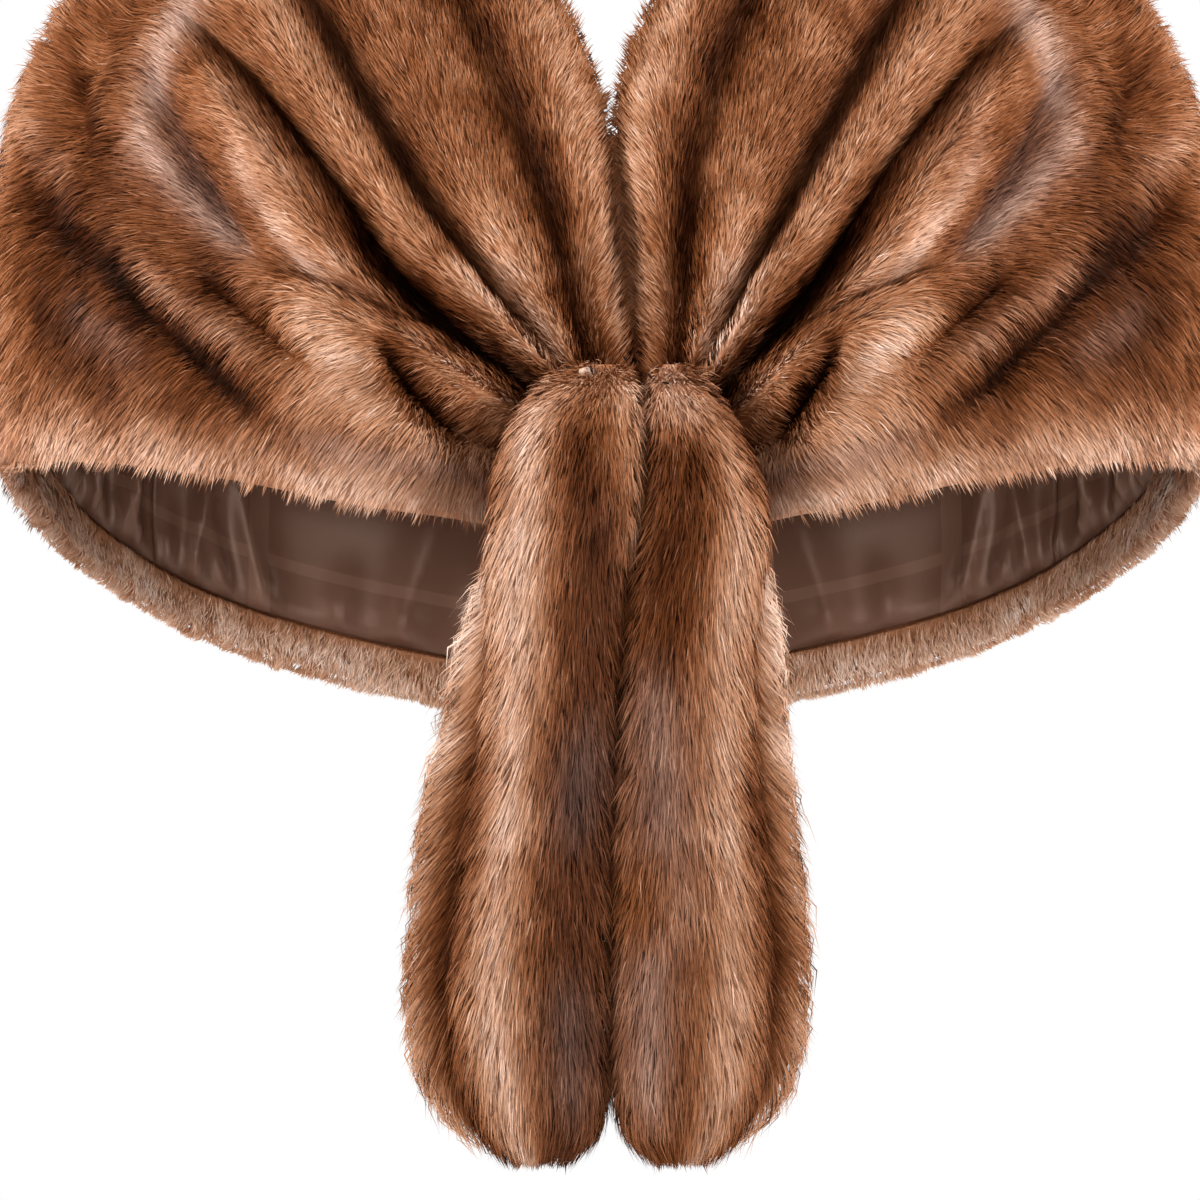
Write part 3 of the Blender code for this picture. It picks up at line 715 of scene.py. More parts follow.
def grow(name, pelt, count, seed, columns, rows, style, look, material):
    """Hair in tufts over part of a pelt. Returns the pieces that it was split into."""
    rng = np.random.default_rng(seed)
    tufts = max(count // style["tuft"], 1)
    ti, tj = pelt.scatter(rng, tufts, columns, rows)
    tuft = rng.integers(0, tufts, count)
    metre_i = 1 / np.linalg.norm(pelt.read(pelt.along, ti, tj), axis=-1)
    metre_j = 1 / np.linalg.norm(pelt.read(pelt.across, ti, tj), axis=-1)
    spread = style["spread"]
    most = PAD / 2
    i = ti[tuft] + rng.normal(0, 1, count) * np.minimum(metre_i[tuft] * spread, most)
    j = tj[tuft] + rng.normal(0, 1, count) * np.minimum(metre_j[tuft] * spread, most)
    i = np.clip(i, columns[0], columns[1])
    if not pelt.closed:
        j = np.clip(j, rows[0], rows[1])
    # The tufts' middles give each tuft its own turn, length and lift.
    turn, _, _, size, stand = look(ti, tj, pelt)
    tuft_turn = turn + rng.normal(0, style["stray"] * 0.6, tufts)
    tuft_length = style["length"] * size * rng.uniform(0.85, 1.1, tufts)
    tuft_lift = np.radians(style["lift"] * stand * rng.uniform(0.75, 1.25, tufts))
    (_, tuft_middle, tuft_tip), _, _ = comb(
        pelt, ti, tj, tuft_turn, tuft_length, tuft_lift, style["straight"])
    length = tuft_length[tuft] * rng.uniform(0.68, 1.12, count)
    lift = tuft_lift[tuft] * rng.uniform(0.6, 1.4, count)
    turn, _, _, _, _ = look(i, j, pelt)
    hair_turn = turn + rng.normal(0, style["stray"], count)
    (root, middle, tip), normal, over = comb(
        pelt, i, j, hair_turn, length, lift, style["straight"])
    _, tone, painted_gloss, _, _ = look(*over, pelt)
    # Hairs draw together towards the tips of their tufts.
    gather = style["gather"] * np.minimum(size, 1)[tuft] ** 2 * rng.uniform(0.3, 1.0, count)
    gather = gather[:, None]
    tip = tip + (tuft_tip[tuft] - tip) * gather
    middle = middle + (tuft_middle[tuft] - middle) * gather * 0.35
    axis = unit(tip - root)
    flat = unit(np.cross(axis, normal))
    stand = np.cross(flat, axis)
    # Each hair is rolled about its own line, and shades between the fur and its own face.
    roll = np.radians(rng.uniform(-50, 50, count))[:, None]
    wide = flat * np.cos(roll) + stand * np.sin(roll)
    width = style["width"] * rng.uniform(0.6, 1.3, (count, 1))
    face = unit(stand * np.cos(roll) - flat * np.sin(roll))
    tilt = rng.normal(0, 0.12, (count, 1))
    shade = unit(normal * 0.78 + face * 0.22 + axis * (0.10 + tilt))
    tone = tone + rng.normal(0, TUFT_SPREAD, tufts)[tuft] + rng.normal(0, HAIR_SPREAD, count)
    # Painted glints: a few hairs are lighter and greyer. A few others are darker.
    kind = rng.random(count)
    bright = kind < style["glint"]
    dark = kind > 1 - DARK_SHARE
    tone = tone + np.where(bright, GLINT_TONE, 0) - np.where(dark, DARK_TONE, 0)
    painted_gloss = painted_gloss + np.where(bright, GLINT_COOL, 0)
    tip_colour = fur_colour(tone, painted_gloss)
    # Roots are darker: their own colour, and painted shade under the hair.
    root_colour = fur_colour(tone - ROOT_DARKER, painted_gloss * 0.5)
    pieces = []
    parts = math.ceil(count / HAIRS_A_PIECE)
    for k in range(parts):
        part = slice(count * k // parts, count * (k + 1) // parts)
        title = name if parts == 1 else f"{name}_{k + 1}"
        piece = hair_mesh(
            title, root[part], middle[part], tip[part], (wide * width)[part], shade[part],
            root_colour[part], tip_colour[part], material)
        pieces.append(piece)
    return pieces


# ---- looks of the hair
def soft_noise(seed, i, j, size_i, size_j):
    """Smooth random values from -1 to 1 over a plane, with cells of the given sizes."""
    rng = np.random.default_rng(seed)
    cells = 64
    table = rng.uniform(-1, 1, (cells, cells))
    x = i / size_i
    y = j / size_j
    x0 = np.floor(x).astype(int)
    y0 = np.floor(y).astype(int)
    return blend(table, x0 % cells, (x0 + 1) % cells, y0 % cells, (y0 + 1) % cells,
                 ramp(x - x0, 0, 1), ramp(y - y0, 0, 1))


def add_stripes(tone, painted_gloss, along, across, stripes):
    """Adds a table of soft stripes to the tone and the painted gloss of each place."""
    for *line, half_width, change, grey, fade in stripes:
        share = band(along, across, *line, half_width, fade)
        tone += change * share
        painted_gloss += grey * share


def strip_paint(u, v):
    """The tone, with its painted light and shade, and the painted gloss of the strip's fur at
    each place.
    """
    half = np.abs(u)
    tone = np.full(u.shape, BASE_TONE)
    painted_gloss = np.zeros(u.shape)
    add_stripes(tone, painted_gloss, half, v, STRIPES)
    # Painted highlights on the folds' crests and painted shade in their grooves.
    tone += np.clip(folds_at(half, v) / 0.02, -1.0, 1.2) * PAINTED_FOLD_LIGHT
    # Stripes down the back, which fade towards the arms and the hem.
    on_back = (1 - ramp(half, 0.34, 0.16)) * (1 - ramp(v, 0.85, 0.12))
    tone += on_back * 0.14 * np.cos(half * 2 * np.pi / BACK_STRIPE)
    # Painted shade darkens the fur into the gather.
    tone -= 0.22 * ramp(half, 0.955, 0.045)
    tone += 0.07 * soft_noise(3, u, v, 0.035, 0.05) + 0.05 * soft_noise(4, u, v, 0.012, 0.02)
    return tone, painted_gloss


def strip_look(i, j, pelt):
    """The turn, tone, painted gloss, size and stand of the hair at places on the strip."""
    u, v = strip_place(i, j)
    half = np.abs(u)
    flow = np.array(FLOW, float)
    on_chest = np.interp(v, flow[:, 0], flow[:, 1])
    # Towards the centre back the hair comes to lie straight down.
    to_back = ramp(-half, -0.52, 0.50)
    turn = on_chest + (90 - on_chest) * to_back
    turn += 9 * soft_noise(5, u, v, 0.05, 0.08)
    turn = np.where(u < 0, 180 - turn, turn)
    tone, painted_gloss = strip_paint(u, v)
    # It is shorter over the chest's rolls, at the gather and along the hem.
    sleek = ramp(half, 0.52, 0.22) * (1 - ramp(v, 0.62, 0.30))
    size = 1.05 - 0.42 * sleek - 0.10 * ramp(half, 0.90, 0.08)
    size = size * (1 - 0.50 * ramp(v, 0.84, 0.12) * (1 - ramp(half, 0.40, 0.10)))
    size = size * (1 - 0.35 * ramp(v, 0.90, 0.08))
    stand = 1 + ramp(half, 0.93, 0.05)
    return turn, tone, painted_gloss, size, stand


def tail_look(mean_tone, stripes, outward):
    """The look of a tail: soft stripes down it, and hair that fans outward."""
    def look(i, j, pelt):
        columns = len(pelt.points)
        down = i / (columns - 1)
        point = pelt.read(pelt.points, i, j)

        def along(values):
            return np.interp(np.clip(i, 0, columns - 1), np.arange(columns), values)

        low = along(pelt.points[:, :, 0].min(1))
        high = along(pelt.points[:, :, 0].max(1))
        across = (point[:, 0] - low) / np.maximum(high - low, 1e-4)
        if pelt.points[columns // 2, :, 0].mean() < 0:
            across = 1 - across
        fan = outward * (across - 0.35)
        wander = across + 0.06 * soft_noise(8, down, across, 0.10, 0.6)
        tone = mean_tone + 0.07 * soft_noise(7, down, across, 0.05, 0.25)
        painted_gloss = np.zeros(tone.shape)
        add_stripes(tone, painted_gloss, down, wander, stripes)
        centre = along(pelt.points[:, :, 1].mean(1))
        turn = 180 - fan * np.clip((centre - point[:, 1]) / 0.004, -1, 1)
        size = 0.62 + 0.38 * ramp(down, 0.0, 0.25)
        stand = 1 + 0.5 * (1 - ramp(down, 0.02, 0.08))
        return turn, tone, painted_gloss, size, stand

    return look


# ---- skins
def edge_middle(outer, inner, next_in):
    """The line of points that rounds a wall's long edge."""
    outward = unit(outer - next_in)
    wall = np.linalg.norm(outer - inner, axis=-1, keepdims=True)
    return (outer + inner) / 2 + outward * wall * EDGE_ROUND


def wall_faces(columns, rows):
    """The faces of a closed wall between two grids, with its long edges rounded."""
    inner = columns * rows
    low = 2 * inner
    high = low + columns
    faces = []
    for column in range(columns - 1):
        for row in range(rows - 1):
            a = column * rows + row
            faces.append((a, a + 1, a + rows + 1, a + rows))
            b = inner + a
            faces.append((b, b + rows, b + rows + 1, b + 1))
        for edge, row, turn in ((low, rows - 1, 1), (high, 0, -1)):
            a = column * rows + row
            faces.append((a + rows, a, edge + column, edge + column + 1)[::turn])
            b = inner + a
            faces.append((b, b + rows, edge + column + 1, edge + column)[::turn])
    for column, turn in ((0, 1), (columns - 1, -1)):
        first = column * rows
        last = first + rows - 1
        for a in range(first, last):
            faces.append((a, inner + a, inner + a + 1, a + 1)[::turn])
        faces.append((last, inner + last, low + column)[::turn])
        faces.append((first, high + column, inner + first)[::turn])
    return faces


def tube_faces(rings, around, start=0, turn=1):
    """The faces of a closed tube of rings of points. A turn of -1 faces them inwards."""
    faces = []
    for near in range(start, start + (rings - 1) * around, around):
        for b in range(around):
            c = (b + 1) % around
            faces.append((near + b, near + c, near + around + c, near + around + b)[::turn])
    faces.append(tuple(range(start, start + around))[::-turn])
    last = start + (rings - 1) * around
    faces.append(tuple(range(last, last + around))[::turn])
    return faces


def lining_relief(u, v):
    """How far the lining's folds stand off the fur, a grid over the lists u and v."""
    signed, v = np.meshgrid(u, v, indexing="ij")
    half = np.abs(signed)
    up = LINING_HEM - v
    total = np.zeros(half.shape)
    for place, lean, half_width, length, depth in PUCKERS:
        middle = place + lean * up / length + 0.004 * np.sign(signed)
        wide = half_width * (0.65 + np.clip(up / length, 0, 1))
        sharp = np.exp(-np.abs((half - middle) / wide) ** 1.4)
        fade = ramp(up, 0.0, 0.015) * (1 - ramp(up, length * 0.3, length * 0.8))
        total += PUCKER_DEPTH * depth * sharp * fade
    total += 0.0012 * ramp(up, 0.0, 0.01) * (1 - ramp(up, 0.01, 0.05)) * np.sin(half * 560) ** 2
    return total


def add_wall(name, u, outside, inside, material):
    """A thin closed body between two grids of points on the strip."""
    low_edge = edge_middle(outside[:, -1], inside[:, -1], outside[:, -2])
    high_edge = edge_middle(outside[:, 0], inside[:, 0], outside[:, 1])
    grids = [settle(u, outside), settle(u, inside),
             settle(u, low_edge[:, None]), settle(u, high_edge[:, None])]
    points = np.concatenate([grid.reshape(-1, 3) for grid in grids])
    piece = add_mesh(name, points, wall_faces(*outside.shape[:2]), material)
    piece.data.shade_smooth()
    return piece


def stations(start, end, steps):
    """Even steps along u, which end a little inside the panel's seams."""
    u = np.linspace(start, end, steps + 1)
    shrink = SEAM_GAP / 2 / METRES_PER_U
    u[0] += shrink
    u[-1] -= shrink
    return u


def tuck_in(points, last):
    """Carries a grid on past its gathered end, its last column or its first."""
    if not last:
        points = points[::-1]
    step = unit(points[-1] - points[-4]) * TUCK / 4
    more = [points[-1] + step * k for k in range(1, 5)]
    points = np.concatenate([points, more])
    return points if last else points[::-1]


def add_skin(name, u, rows, material):
    """A panel's skin, painted as its hair. A gathered one runs on behind the tails."""
    v = np.linspace(0, 1, rows + 1)
    outside = strip(u, v, SKIN_SINK)
    inside = strip(u, v, SKIN_SINK + SKIN_WALL, INNER_FOLLOW)
    if np.abs(u).max() > 0.99:
        last = u[-1] > 0
        outside = tuck_in(outside, last)
        inside = tuck_in(inside, last)
        u = np.concatenate([u, [1.0] * 4] if last else [[-1.0] * 4, u])
    piece = add_wall(name, u, outside, inside, material)
    uu, vv = np.meshgrid(u, v, indexing="ij")
    tone, painted_gloss = strip_paint(uu.ravel(), vv.ravel())
    one = fur_colour(tone - SKIN_DARKER, painted_gloss)
    ends = np.concatenate([one[len(v) - 1::len(v)], one[::len(v)]])
    paint_points(piece.data, np.concatenate([one, one, ends]))
    return piece


# ---- materials
def set_inputs(node, values):
    for socket, value in values.items():
        node.inputs[socket].default_value = value


def add_shader(name):
    material = bpy.data.materials.new(name)
    material.use_nodes = True
    return material, material.node_tree, material.node_tree.nodes["Principled BSDF"]


def add_noise(tree, place, **values):
    """Fine noise from 0 to 1 over a socket's places."""
    noise = tree.nodes.new("ShaderNodeTexNoise")
    set_inputs(noise, values)
    if place:
        tree.links.new(place, noise.inputs["Vector"])
    return noise.outputs["Fac"]


def add_math(tree, operation, first, second):
    """The result of a sum on a socket and on another socket or a number."""
    node = tree.nodes.new("ShaderNodeMath")
    node.operation = operation
    tree.links.new(first, node.inputs[0])
    if isinstance(second, float):
        node.inputs[1].default_value = second
    else:
        tree.links.new(second, node.inputs[1])
    return node.outputs[0]


def link_range(tree, source, low, high, target):
    """Sends a value from 0 to 1 to a socket as one between low and high."""
    spread = tree.nodes.new("ShaderNodeMapRange")
    set_inputs(spread, {"To Min": low, "To Max": high})
    tree.links.new(source, spread.inputs["Value"])
    tree.links.new(spread.outputs["Result"], target)


def link_colours(tree, source, low, high, shader):
    """Colours a surface between two linear colours, by a value from 0 to 1."""
    mix = tree.nodes.new("ShaderNodeMix")
    mix.data_type = "RGBA"
    set_inputs(mix, {"A": (*low, 1), "B": (*high, 1)})
    tree.links.new(source, mix.inputs["Factor"])
    tree.links.new(mix.outputs["Result"], shader.inputs["Base Color"])


def link_bump(tree, source, strength, distance, shader):
    relief = tree.nodes.new("ShaderNodeBump")
    set_inputs(relief, {"Strength": strength, "Distance": distance})
    tree.links.new(source, relief.inputs["Height"])
    tree.links.new(relief.outputs["Normal"], shader.inputs["Normal"])


def fur_material(name, roughness, bump):
    """Fur: the painted colour of each hair, varied by fine noise."""
    material, tree, shader = add_shader(name)
    paint = tree.nodes.new("ShaderNodeAttribute")
    paint.attribute_name = "pelt"
    place = tree.nodes.new("ShaderNodeTexCoord")
    grain = add_noise(tree, place.outputs["Object"], Scale=420, Detail=3)
    scale = tree.nodes.new("ShaderNodeVectorMath")
    scale.operation = "SCALE"
    tree.links.new(paint.outputs["Color"], scale.inputs[0])
    link_range(tree, grain, 0.76, 1.24, scale.inputs["Scale"])
    tree.links.new(scale.outputs["Vector"], shader.inputs["Base Color"])
    link_range(tree, grain, roughness - 0.10, roughness + 0.10, shader.inputs["Roughness"])
    set_inputs(shader, {"Specular IOR Level": 0.02, "Specular Tint": (1.0, 0.80, 0.62, 1)})
    if bump:
        link_bump(tree, grain, 0.6, bump, shader)
    return material


def satin_material():
    """Brown satin with a fine weave and a plain tone-on-tone check."""
    material, tree, shader = add_shader("satin")
    place = tree.nodes.new("ShaderNodeUVMap")
    place.uv_map = "Cloth"
    split = tree.nodes.new("ShaderNodeSeparateXYZ")
    tree.links.new(place.outputs["UV"], split.inputs[0])
    waves = [add_math(tree, "PINGPONG", split.outputs[axis], CHECK_SPACING) for axis in "XY"]
    lines = [add_math(tree, "LESS_THAN", wave, CHECK_BAND) for wave in waves]
    check = add_math(tree, "MAXIMUM", *lines)
    grain = add_noise(tree, place.outputs["UV"], Scale=900)
    link_colours(tree, check, linear(SATIN), linear(SATIN_BAND), shader)
    link_range(tree, grain, 0.31, 0.44, shader.inputs["Roughness"])
    link_bump(tree, grain, 0.15, 0.0002, shader)
    set_inputs(shader, {
        "Specular IOR Level": 0.40, "Specular Tint": (1.0, 0.74, 0.60, 1),
        "Sheen Weight": 0.06, "Sheen Roughness": 0.3, "Sheen Tint": (1.0, 0.80, 0.70, 1)})
    return material


def plain_material(name, colour, roughness, scale):
    """A small plain piece, such as thread or bare leather, with a fine grain."""
    material, tree, shader = add_shader(name)
    grain = add_noise(tree, None, Scale=scale)
    low, high = linear(colour) * 0.8, np.minimum(linear(colour) * 1.2, 1.0)
    link_colours(tree, grain, low, high, shader)
    link_bump(tree, grain, 0.5, 0.0003, shader)
    set_inputs(shader, {"Roughness": roughness, "Specular IOR Level": 0.06})
    return material


# ---- hem and stitches
def add_facing(hair, leather, style):
    """The fur that is turned in along the back hem, and its hair."""
    u = np.linspace(-FACED, FACED, 161)
    v = np.linspace(1 - FACING_SHARE, 1.0, 7)
    sink = FUR_WALL + LAY_GAP
    deep = sink + FACING_WALL_SEEN
    skin = add_wall("facing_skin", u, strip(u, v, sink, INNER_FOLLOW),
                    strip(u, v, deep, INNER_FOLLOW), leather)
    tone = np.full(len(skin.data.vertices), FACING_TONE)
    paint_points(skin.data, fur_colour(tone, np.zeros(tone.shape)))
    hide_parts("hem_facing")
    u = np.linspace(-FACED, FACED, FACING_COLUMNS + 1)
    v = np.linspace(1 - FACING_SHARE, 1.0, FACING_ROWS + 1)
    grid = Pelt(padded_grid(strip(u, v, deep, INNER_FOLLOW)), flip=True)

    def facing_look(i, j, pelt):
        side = (i - PAD) / FACING_COLUMNS * 2 - 1
        down = np.clip((j - PAD) / FACING_ROWS, 0, 1)
        turn = 90 - side * 22 + 16 * soft_noise(10, i, j, 9, 30)
        tone = 0.66 + 0.22 * down + 0.10 * soft_noise(9, i, j, 12, 30)
        size = 1 + 0.25 * soft_noise(11, i, j, 7, 50)
        return turn, tone, np.zeros(i.shape), size, np.ones(i.shape)

    kind = dict(style, length=0.0105, lift=30, stray=14, gather=0.5, tuft=9)
    tufts = grow("hair_facing", grid, 14000, 300, (PAD, PAD + FACING_COLUMNS),
                 (PAD - 5, PAD + FACING_ROWS), kind, facing_look, hair)
    return skin, tufts


def edge_pelt(reach, columns, v_in, v_edge, faced):
    """A pelt from a little way up the inside of a long edge to under its rounding.

    It runs from -reach to reach along u. faced is 1 for an edge that carries the
    turned-in fur, else 0.
    """
    u = np.linspace(-reach, reach, columns + 1)
    low, high = sorted((v_in, v_edge))
    v = np.array((low, high))
    thin = SKIN_SINK + SKIN_WALL
    thick = FUR_WALL + LAY_GAP + FACING_WALL_SEEN
    grids = [settle(u, strip(u, v, SKIN_SINK)),
             settle(u, strip(u, v, thin, INNER_FOLLOW)),
             settle(u, strip(u, v, thick, INNER_FOLLOW))]
    if v_edge < v_in:
        grids = [grid[:, ::-1] for grid in grids]
    outer, plain, lined = grids
    share = faced * ramp(-np.abs(u), -FACED, 0.02)
    inner = plain + (lined - plain) * share[:, None, None]
    outward = unit(outer[:, 1] - outer[:, 0])
    middle = (outer[:, 1] + inner[:, 1]) / 2
    half = inner[:, 1] - middle
    turns = np.linspace(0, np.pi * 0.55, 21)[None, :, None]
    rounding = np.linalg.norm(half, axis=-1, keepdims=True) * 2 * EDGE_ROUND
    edge = (middle[:, None] + half[:, None] * np.cos(turns)
            + (outward * rounding)[:, None] * np.sin(turns))
    face = inner[:, :1] + (inner[:, 1:] - inner[:, :1]) * np.linspace(0, 1, 5)[None, :-1, None]
    pelt = Pelt(np.concatenate([face, edge], axis=1), flip=v_edge > v_in)
    pelt.normals = unit(pelt.normals + pelt.normals[:, :1])
    return pelt


def edge_look(columns, mean_tone, thin_from):
    """The look of an edge's fringe, which gets shorter from thin_from to its ends."""
    def look(i, j, pelt):
        turn = 90 + 26 * soft_noise(12, i, j, 5, 8)
        tone = mean_tone + 0.12 * soft_noise(13, i, j, 9, 12)
        side = np.abs(i / columns * 2 - 1)
        size = (1 + 0.35 * soft_noise(14, i, j, 5, 20)) * (1 - 0.35 * ramp(side, thin_from, 0.15))
        return turn, tone, np.zeros(i.shape), size, np.ones(i.shape)

    return look


def add_edge_hair(hair, style):
    """The fringes along the hem of the back and the arms, and along the neck edge."""
    kind = dict(style, length=0.0090, width=0.0008, lift=26, stray=12, straight=0.6,
                gather=0.55, tuft=8)
    # Columns: name, slot, hairs, seed, reach, columns, v_in, v_edge, faced, tone, thin_from.
    edges = (
        ("hair_hem", "mink_facing", 15000, 310, ARM_SEAM, 700, 0.985, 1.0, 1, 0.78, 0.85),
        ("hair_neck", "mink_fur", 11000, 320, 0.90, 900, 0.02, 0.0, 0, 0.60, 0.80),
    )
    pieces = []
    for name, slot, count, seed, reach, columns, v_in, v_edge, faced, tone, thin_from in edges:
        pelt = edge_pelt(reach, columns, v_in, v_edge, faced)
        pieces += grow(name, pelt, count, seed, (1, columns - 1),
                       (0, pelt.points.shape[1] - 1), kind,
                       edge_look(columns, tone, thin_from), hair)
    return pieces


def add_stitches():
    """The bare skin and the tacking stitches where the tails are sewn on."""
    # Columns: x, y, z of one end, x, y, z of the other end, radius.
    threads = (
        (-0.0066, -0.1468, -0.2520, -0.0058, -0.1478, -0.2566, 0.00060),
        (+0.0190, -0.1560, -0.2572, +0.0208, -0.1575, -0.2600, 0.00060),
        (+0.0254, -0.1590, -0.2616, +0.0284, -0.1592, -0.2622, 0.00060),
        (+0.0080, -0.1490, -0.2484, +0.0100, -0.1495, -0.2510, 0.00070),
    )
    sides = 12
    rings = 8
    turns = np.linspace(0, 2 * np.pi, sides, endpoint=False)
    rise = np.linspace(-0.97, 0.97, rings)
    faces = tube_faces(rings, sides)

    def add_spindle(name, centre, axis, across, through, material):
        """A closed, rounded body about an axis, from its centre."""
        level = rise[:, None, None]
        girth = np.sqrt(1 - level ** 2)
        round_it = (across * np.cos(turns)[:, None] + through * np.sin(turns)[:, None])[None]
        points = (centre + axis * level + round_it * girth).reshape(-1, 3)
        piece = add_mesh(name, points, faces, material)
        piece.data.shade_smooth()

    leather = plain_material("bare_leather", (206, 180, 160), 0.6, 900)
    across, through, axis = np.diag((0.0036, 0.0020, 0.0020))
    add_spindle("bare_skin", np.array((-0.0084, -0.1442, -0.2548)), axis, across, through,
                leather)
    thread = plain_material("thread", (36, 22, 15), 0.8, 4000)
    for number, (*first, x, y, z, radius) in enumerate(threads):
        first = np.array(first)
        last = np.array((x, y, z))
        ahead = unit(last - first)
        across = unit(np.cross(ahead, (0.0, 1.0, 0.0)))
        add_spindle(f"stitch_{number + 1}", (first + last) / 2, (last - first) / 2,
                    across * radius, np.cross(across, ahead) * radius, thread)


# ---- stage
def add_stage():
    """The camera, the lamps, the white ground and the floor."""
    scene = bpy.context.scene
    elevation = math.radians(VIEW_ELEVATION)
    ahead = Vector((0, math.cos(elevation), -math.sin(elevation)))
    lens = bpy.data.cameras.new("camera")
    lens.sensor_width = 36
    lens.lens = 36 * VIEW_DISTANCE / VIEW_WIDTH
    lens.clip_end = 50
    scene.camera = add_object("camera", lens)
    scene.camera.location = Vector(VIEW_TARGET) - ahead * VIEW_DISTANCE
    scene.camera.rotation_euler = ahead.to_track_quat("-Z", "Y").to_euler()
    # Soft area lamps, with their places and sizes in metres and their powers in watts.
    # Columns: name, place, size, power, colour.
    lamps = (
        ("left", (-1.6, -0.9, 0.15), 0.8, 58, (1.0, 0.99, 0.98)),
        ("right", (1.6, -0.9, 0.15), 0.8, 54, (1.0, 0.99, 0.98)),
        ("top", (0.0, -0.8, 1.5), 1.0, 15, (1.0, 1.0, 1.0)),
        ("front", (0.0, -2.6, -0.9), 1.2, 26, (1.0, 1.0, 1.0)),
        ("behind", (0.0, 1.8, 0.9), 1.4, 24, (1.0, 1.0, 1.0)),
    )
    for name, place, size, power, colour in lamps:
        lamp = bpy.data.lights.new(name, "AREA")
        lamp.size = size
        lamp.energy = power
        lamp.color = colour
        holder = add_object(name, lamp)
        holder.location = place
        aim = Vector(LAMP_AIM) - Vector(place)
        holder.rotation_euler = aim.to_track_quat("-Z", "Y").to_euler()
    world = bpy.data.worlds.new("studio")
    world.use_nodes = True
    scene.world = world
    tree = world.node_tree
    sky = tree.nodes["Background"]
    sky.inputs["Color"].default_value = (1, 1, 1, 1)
    # The ground shows white, but lends the fur only a little light.
    seen = tree.nodes.new("ShaderNodeLightPath")
    link_range(tree, seen.outputs["Is Camera Ray"], 0.16, 1.0, sky.inputs["Strength"])
    floor_mesh = bpy.data.meshes.new("floor")
    corners = [(x * FLOOR_REACH, y * FLOOR_REACH, FLOOR_HEIGHT)
               for x, y in ((-1, -1), (1, -1), (1, 1), (-1, 1))]
    floor_mesh.from_pydata(corners, [], [(0, 1, 2, 3)])
    material, _, shader = add_shader("floor")
    set_inputs(shader, {"Base Color": (0.85, 0.85, 0.85, 1), "Roughness": 0.8})
    floor_mesh.materials.append(material)
    add_object("floor", floor_mesh)
    scene.view_settings.view_transform = "Standard"


def add_panels(hair, leather, style):
    """The five panels of the strip: their skins and their hair."""
    arm_style = dict(style, lift=23, length=0.0175)
    back_style = dict(style, width=0.0009)
    # Columns: name, u_start, u_end, steps, rows, hairs, style.
    panels = (
        ("back", -BACK_SEAM, BACK_SEAM, 40, 30, 22000, back_style),
        ("arm_left", -ARM_SEAM, -BACK_SEAM, 40, 36, 32000, arm_style),
        ("arm_right", BACK_SEAM, ARM_SEAM, 40, 36, 32000, arm_style),
        ("chest_left", -1.0, -ARM_SEAM, 80, 70, 87000, style),
        ("chest_right", ARM_SEAM, 1.0, 80, 70, 87000, style),
    )
    pelt = strip_pelt()
    for seed, (name, u_start, u_end, steps, rows, count, kind) in enumerate(panels, 101):
        skin = add_skin("skin_" + name, stations(u_start, u_end, steps), rows, leather)
        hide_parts("fur_" + name)
        first = strip_column(u_start) - (TUCK_COLUMNS if u_start == -1 else 0)
        last = strip_column(u_end) + (TUCK_COLUMNS if u_end == 1 else 0)
        tufts = grow("hair_" + name, pelt, count, seed, (first, last),
                     (PAD, PAD + GRID_V), kind, strip_look, hair)


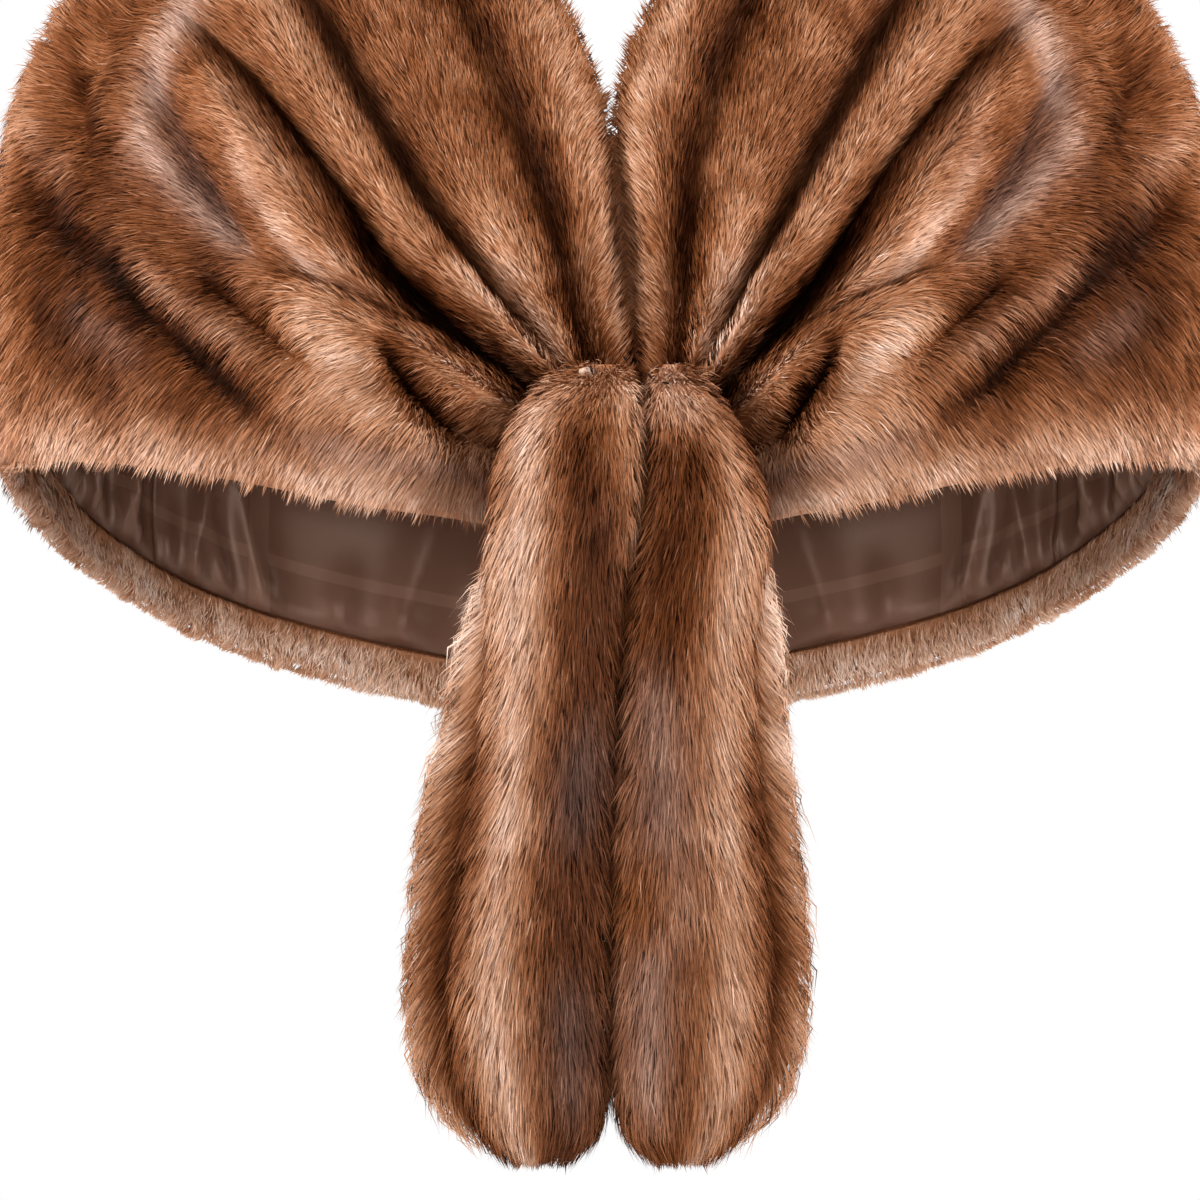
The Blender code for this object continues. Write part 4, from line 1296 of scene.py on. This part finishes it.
def add_tails(hair, leather, style):
    """The two pairs of tails: their skins, which are hollow, and their hair."""
    # Columns: name, side, sections, hairs, mean_tone, stripes, outward.
    tails = (
        ("tail_front_left", -1, FRONT_TAIL, 40000, LEFT_TAIL_TONE, LEFT_TAIL_STRIPES, 26),
        ("tail_front_right", 1, FRONT_TAIL, 40000, RIGHT_TAIL_TONE, RIGHT_TAIL_STRIPES, 26),
        ("tail_rear_left", -1, REAR_TAIL, 18000, REAR_TAIL_TONE, REAR_TAIL_STRIPES, 70),
        ("tail_rear_right", 1, REAR_TAIL, 18000, REAR_TAIL_TONE, REAR_TAIL_STRIPES, 70),
    )
    # Where each point of a skin lies on the tail's growing surface.
    i = np.repeat(np.arange(TAIL_RINGS) * (TAIL_COLUMNS - 1) / (TAIL_RINGS - 1), TAIL_SIDES)
    j = np.tile(np.arange(TAIL_SIDES) * TAIL_ROWS / TAIL_SIDES, TAIL_RINGS)
    for seed, (name, side, sections, count, mean_tone, stripes, outward) in enumerate(tails, 106):
        front = "front" in name
        body = tail_points(side, sections, TAIL_RINGS, TAIL_SIDES, TAIL_SINK)
        hollow = tail_points(side, sections[1:-1], TAIL_RINGS, TAIL_SIDES, TAIL_SINK + TAIL_WALL)
        faces = (tube_faces(TAIL_RINGS, TAIL_SIDES, 0, side)
                 + tube_faces(TAIL_RINGS, TAIL_SIDES, TAIL_RINGS * TAIL_SIDES, -side))
        points = np.concatenate([body, hollow]).reshape(-1, 3)
        skin = add_mesh("skin_" + name, points, faces, leather)
        skin.data.shade_smooth()
        pelt = Pelt(tail_points(side, sections, TAIL_COLUMNS, TAIL_ROWS, TAIL_SINK),
                    closed=True, flip=side < 0)
        look = tail_look(mean_tone, stripes, outward)
        _, tone, painted_gloss, _, _ = look(i, j, pelt)
        paint_points(skin.data, np.tile(fur_colour(tone - SKIN_DARKER, painted_gloss), (2, 1)))
        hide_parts(name)
        kind = dict(style, length=0.019 if front else 0.024, lift=19 if front else 22)
        tufts = grow("hair_" + name, pelt, count, seed, (1, TAIL_COLUMNS - 3),
                     (0, TAIL_ROWS), kind, look, hair)


def add_linings():
    """The satin linings, with their puckers and the plain check laid out on them."""
    satin = satin_material()
    # Columns: name, u_start, u_end, steps, rows, bottom.
    linings = (
        ("lining_back", -BACK_SEAM, BACK_SEAM, 130, 30, LINING_HEM),
        ("lining_arm_left", -ARM_SEAM, -BACK_SEAM, 90, 30, LINING_HEM),
        ("lining_arm_right", BACK_SEAM, ARM_SEAM, 90, 30, LINING_HEM),
        ("lining_chest_left", -LINING_END, -ARM_SEAM, 30, 24, LINING_BOTTOM),
        ("lining_chest_right", ARM_SEAM, LINING_END, 30, 24, LINING_BOTTOM),
    )
    for name, u_start, u_end, steps, rows, bottom in linings:
        u = stations(u_start, u_end, steps)
        v = np.linspace(LINING_TOP, bottom, rows + 1)
        sink = FUR_WALL + LAY_GAP + lining_relief(u, v)
        piece = add_wall(name + "_satin", u, strip(u, v, sink, INNER_FOLLOW),
                         strip(u, v, sink + LINING_WALL, INNER_FOLLOW), satin)
        layer = piece.data.uv_layers.new(name="Cloth")
        uu, vv = np.meshgrid(u, v, indexing="ij")
        flat = np.stack([uu.ravel() * CLOTH_WIDTH, vv.ravel() * CLOTH_LENGTH], -1)
        places = np.concatenate([flat, flat, flat[rows::rows + 1], flat[::rows + 1]])
        index = np.empty(len(piece.data.loops), np.int32)
        piece.data.loops.foreach_get("vertex_index", index)
        fill(layer.data, "uv", places[index])
        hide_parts(name)


def build():
    add_stage()
    hair = fur_material("mink_hair", 0.42, 0)
    leather = fur_material("mink_underfur", 0.75, 0.0015)
    style = {"length": 0.0165, "width": 0.00055, "lift": 16, "stray": 7, "straight": 0.25,
             "gather": 0.35, "tuft": 6, "spread": 0.0022, "glint": 0.06}
    add_panels(hair, leather, style)
    add_tails(hair, leather, style)
    add_linings()
    facing, tufts = add_facing(hair, leather, style)
    tufts += add_edge_hair(hair, style)
    add_stitches()


build()
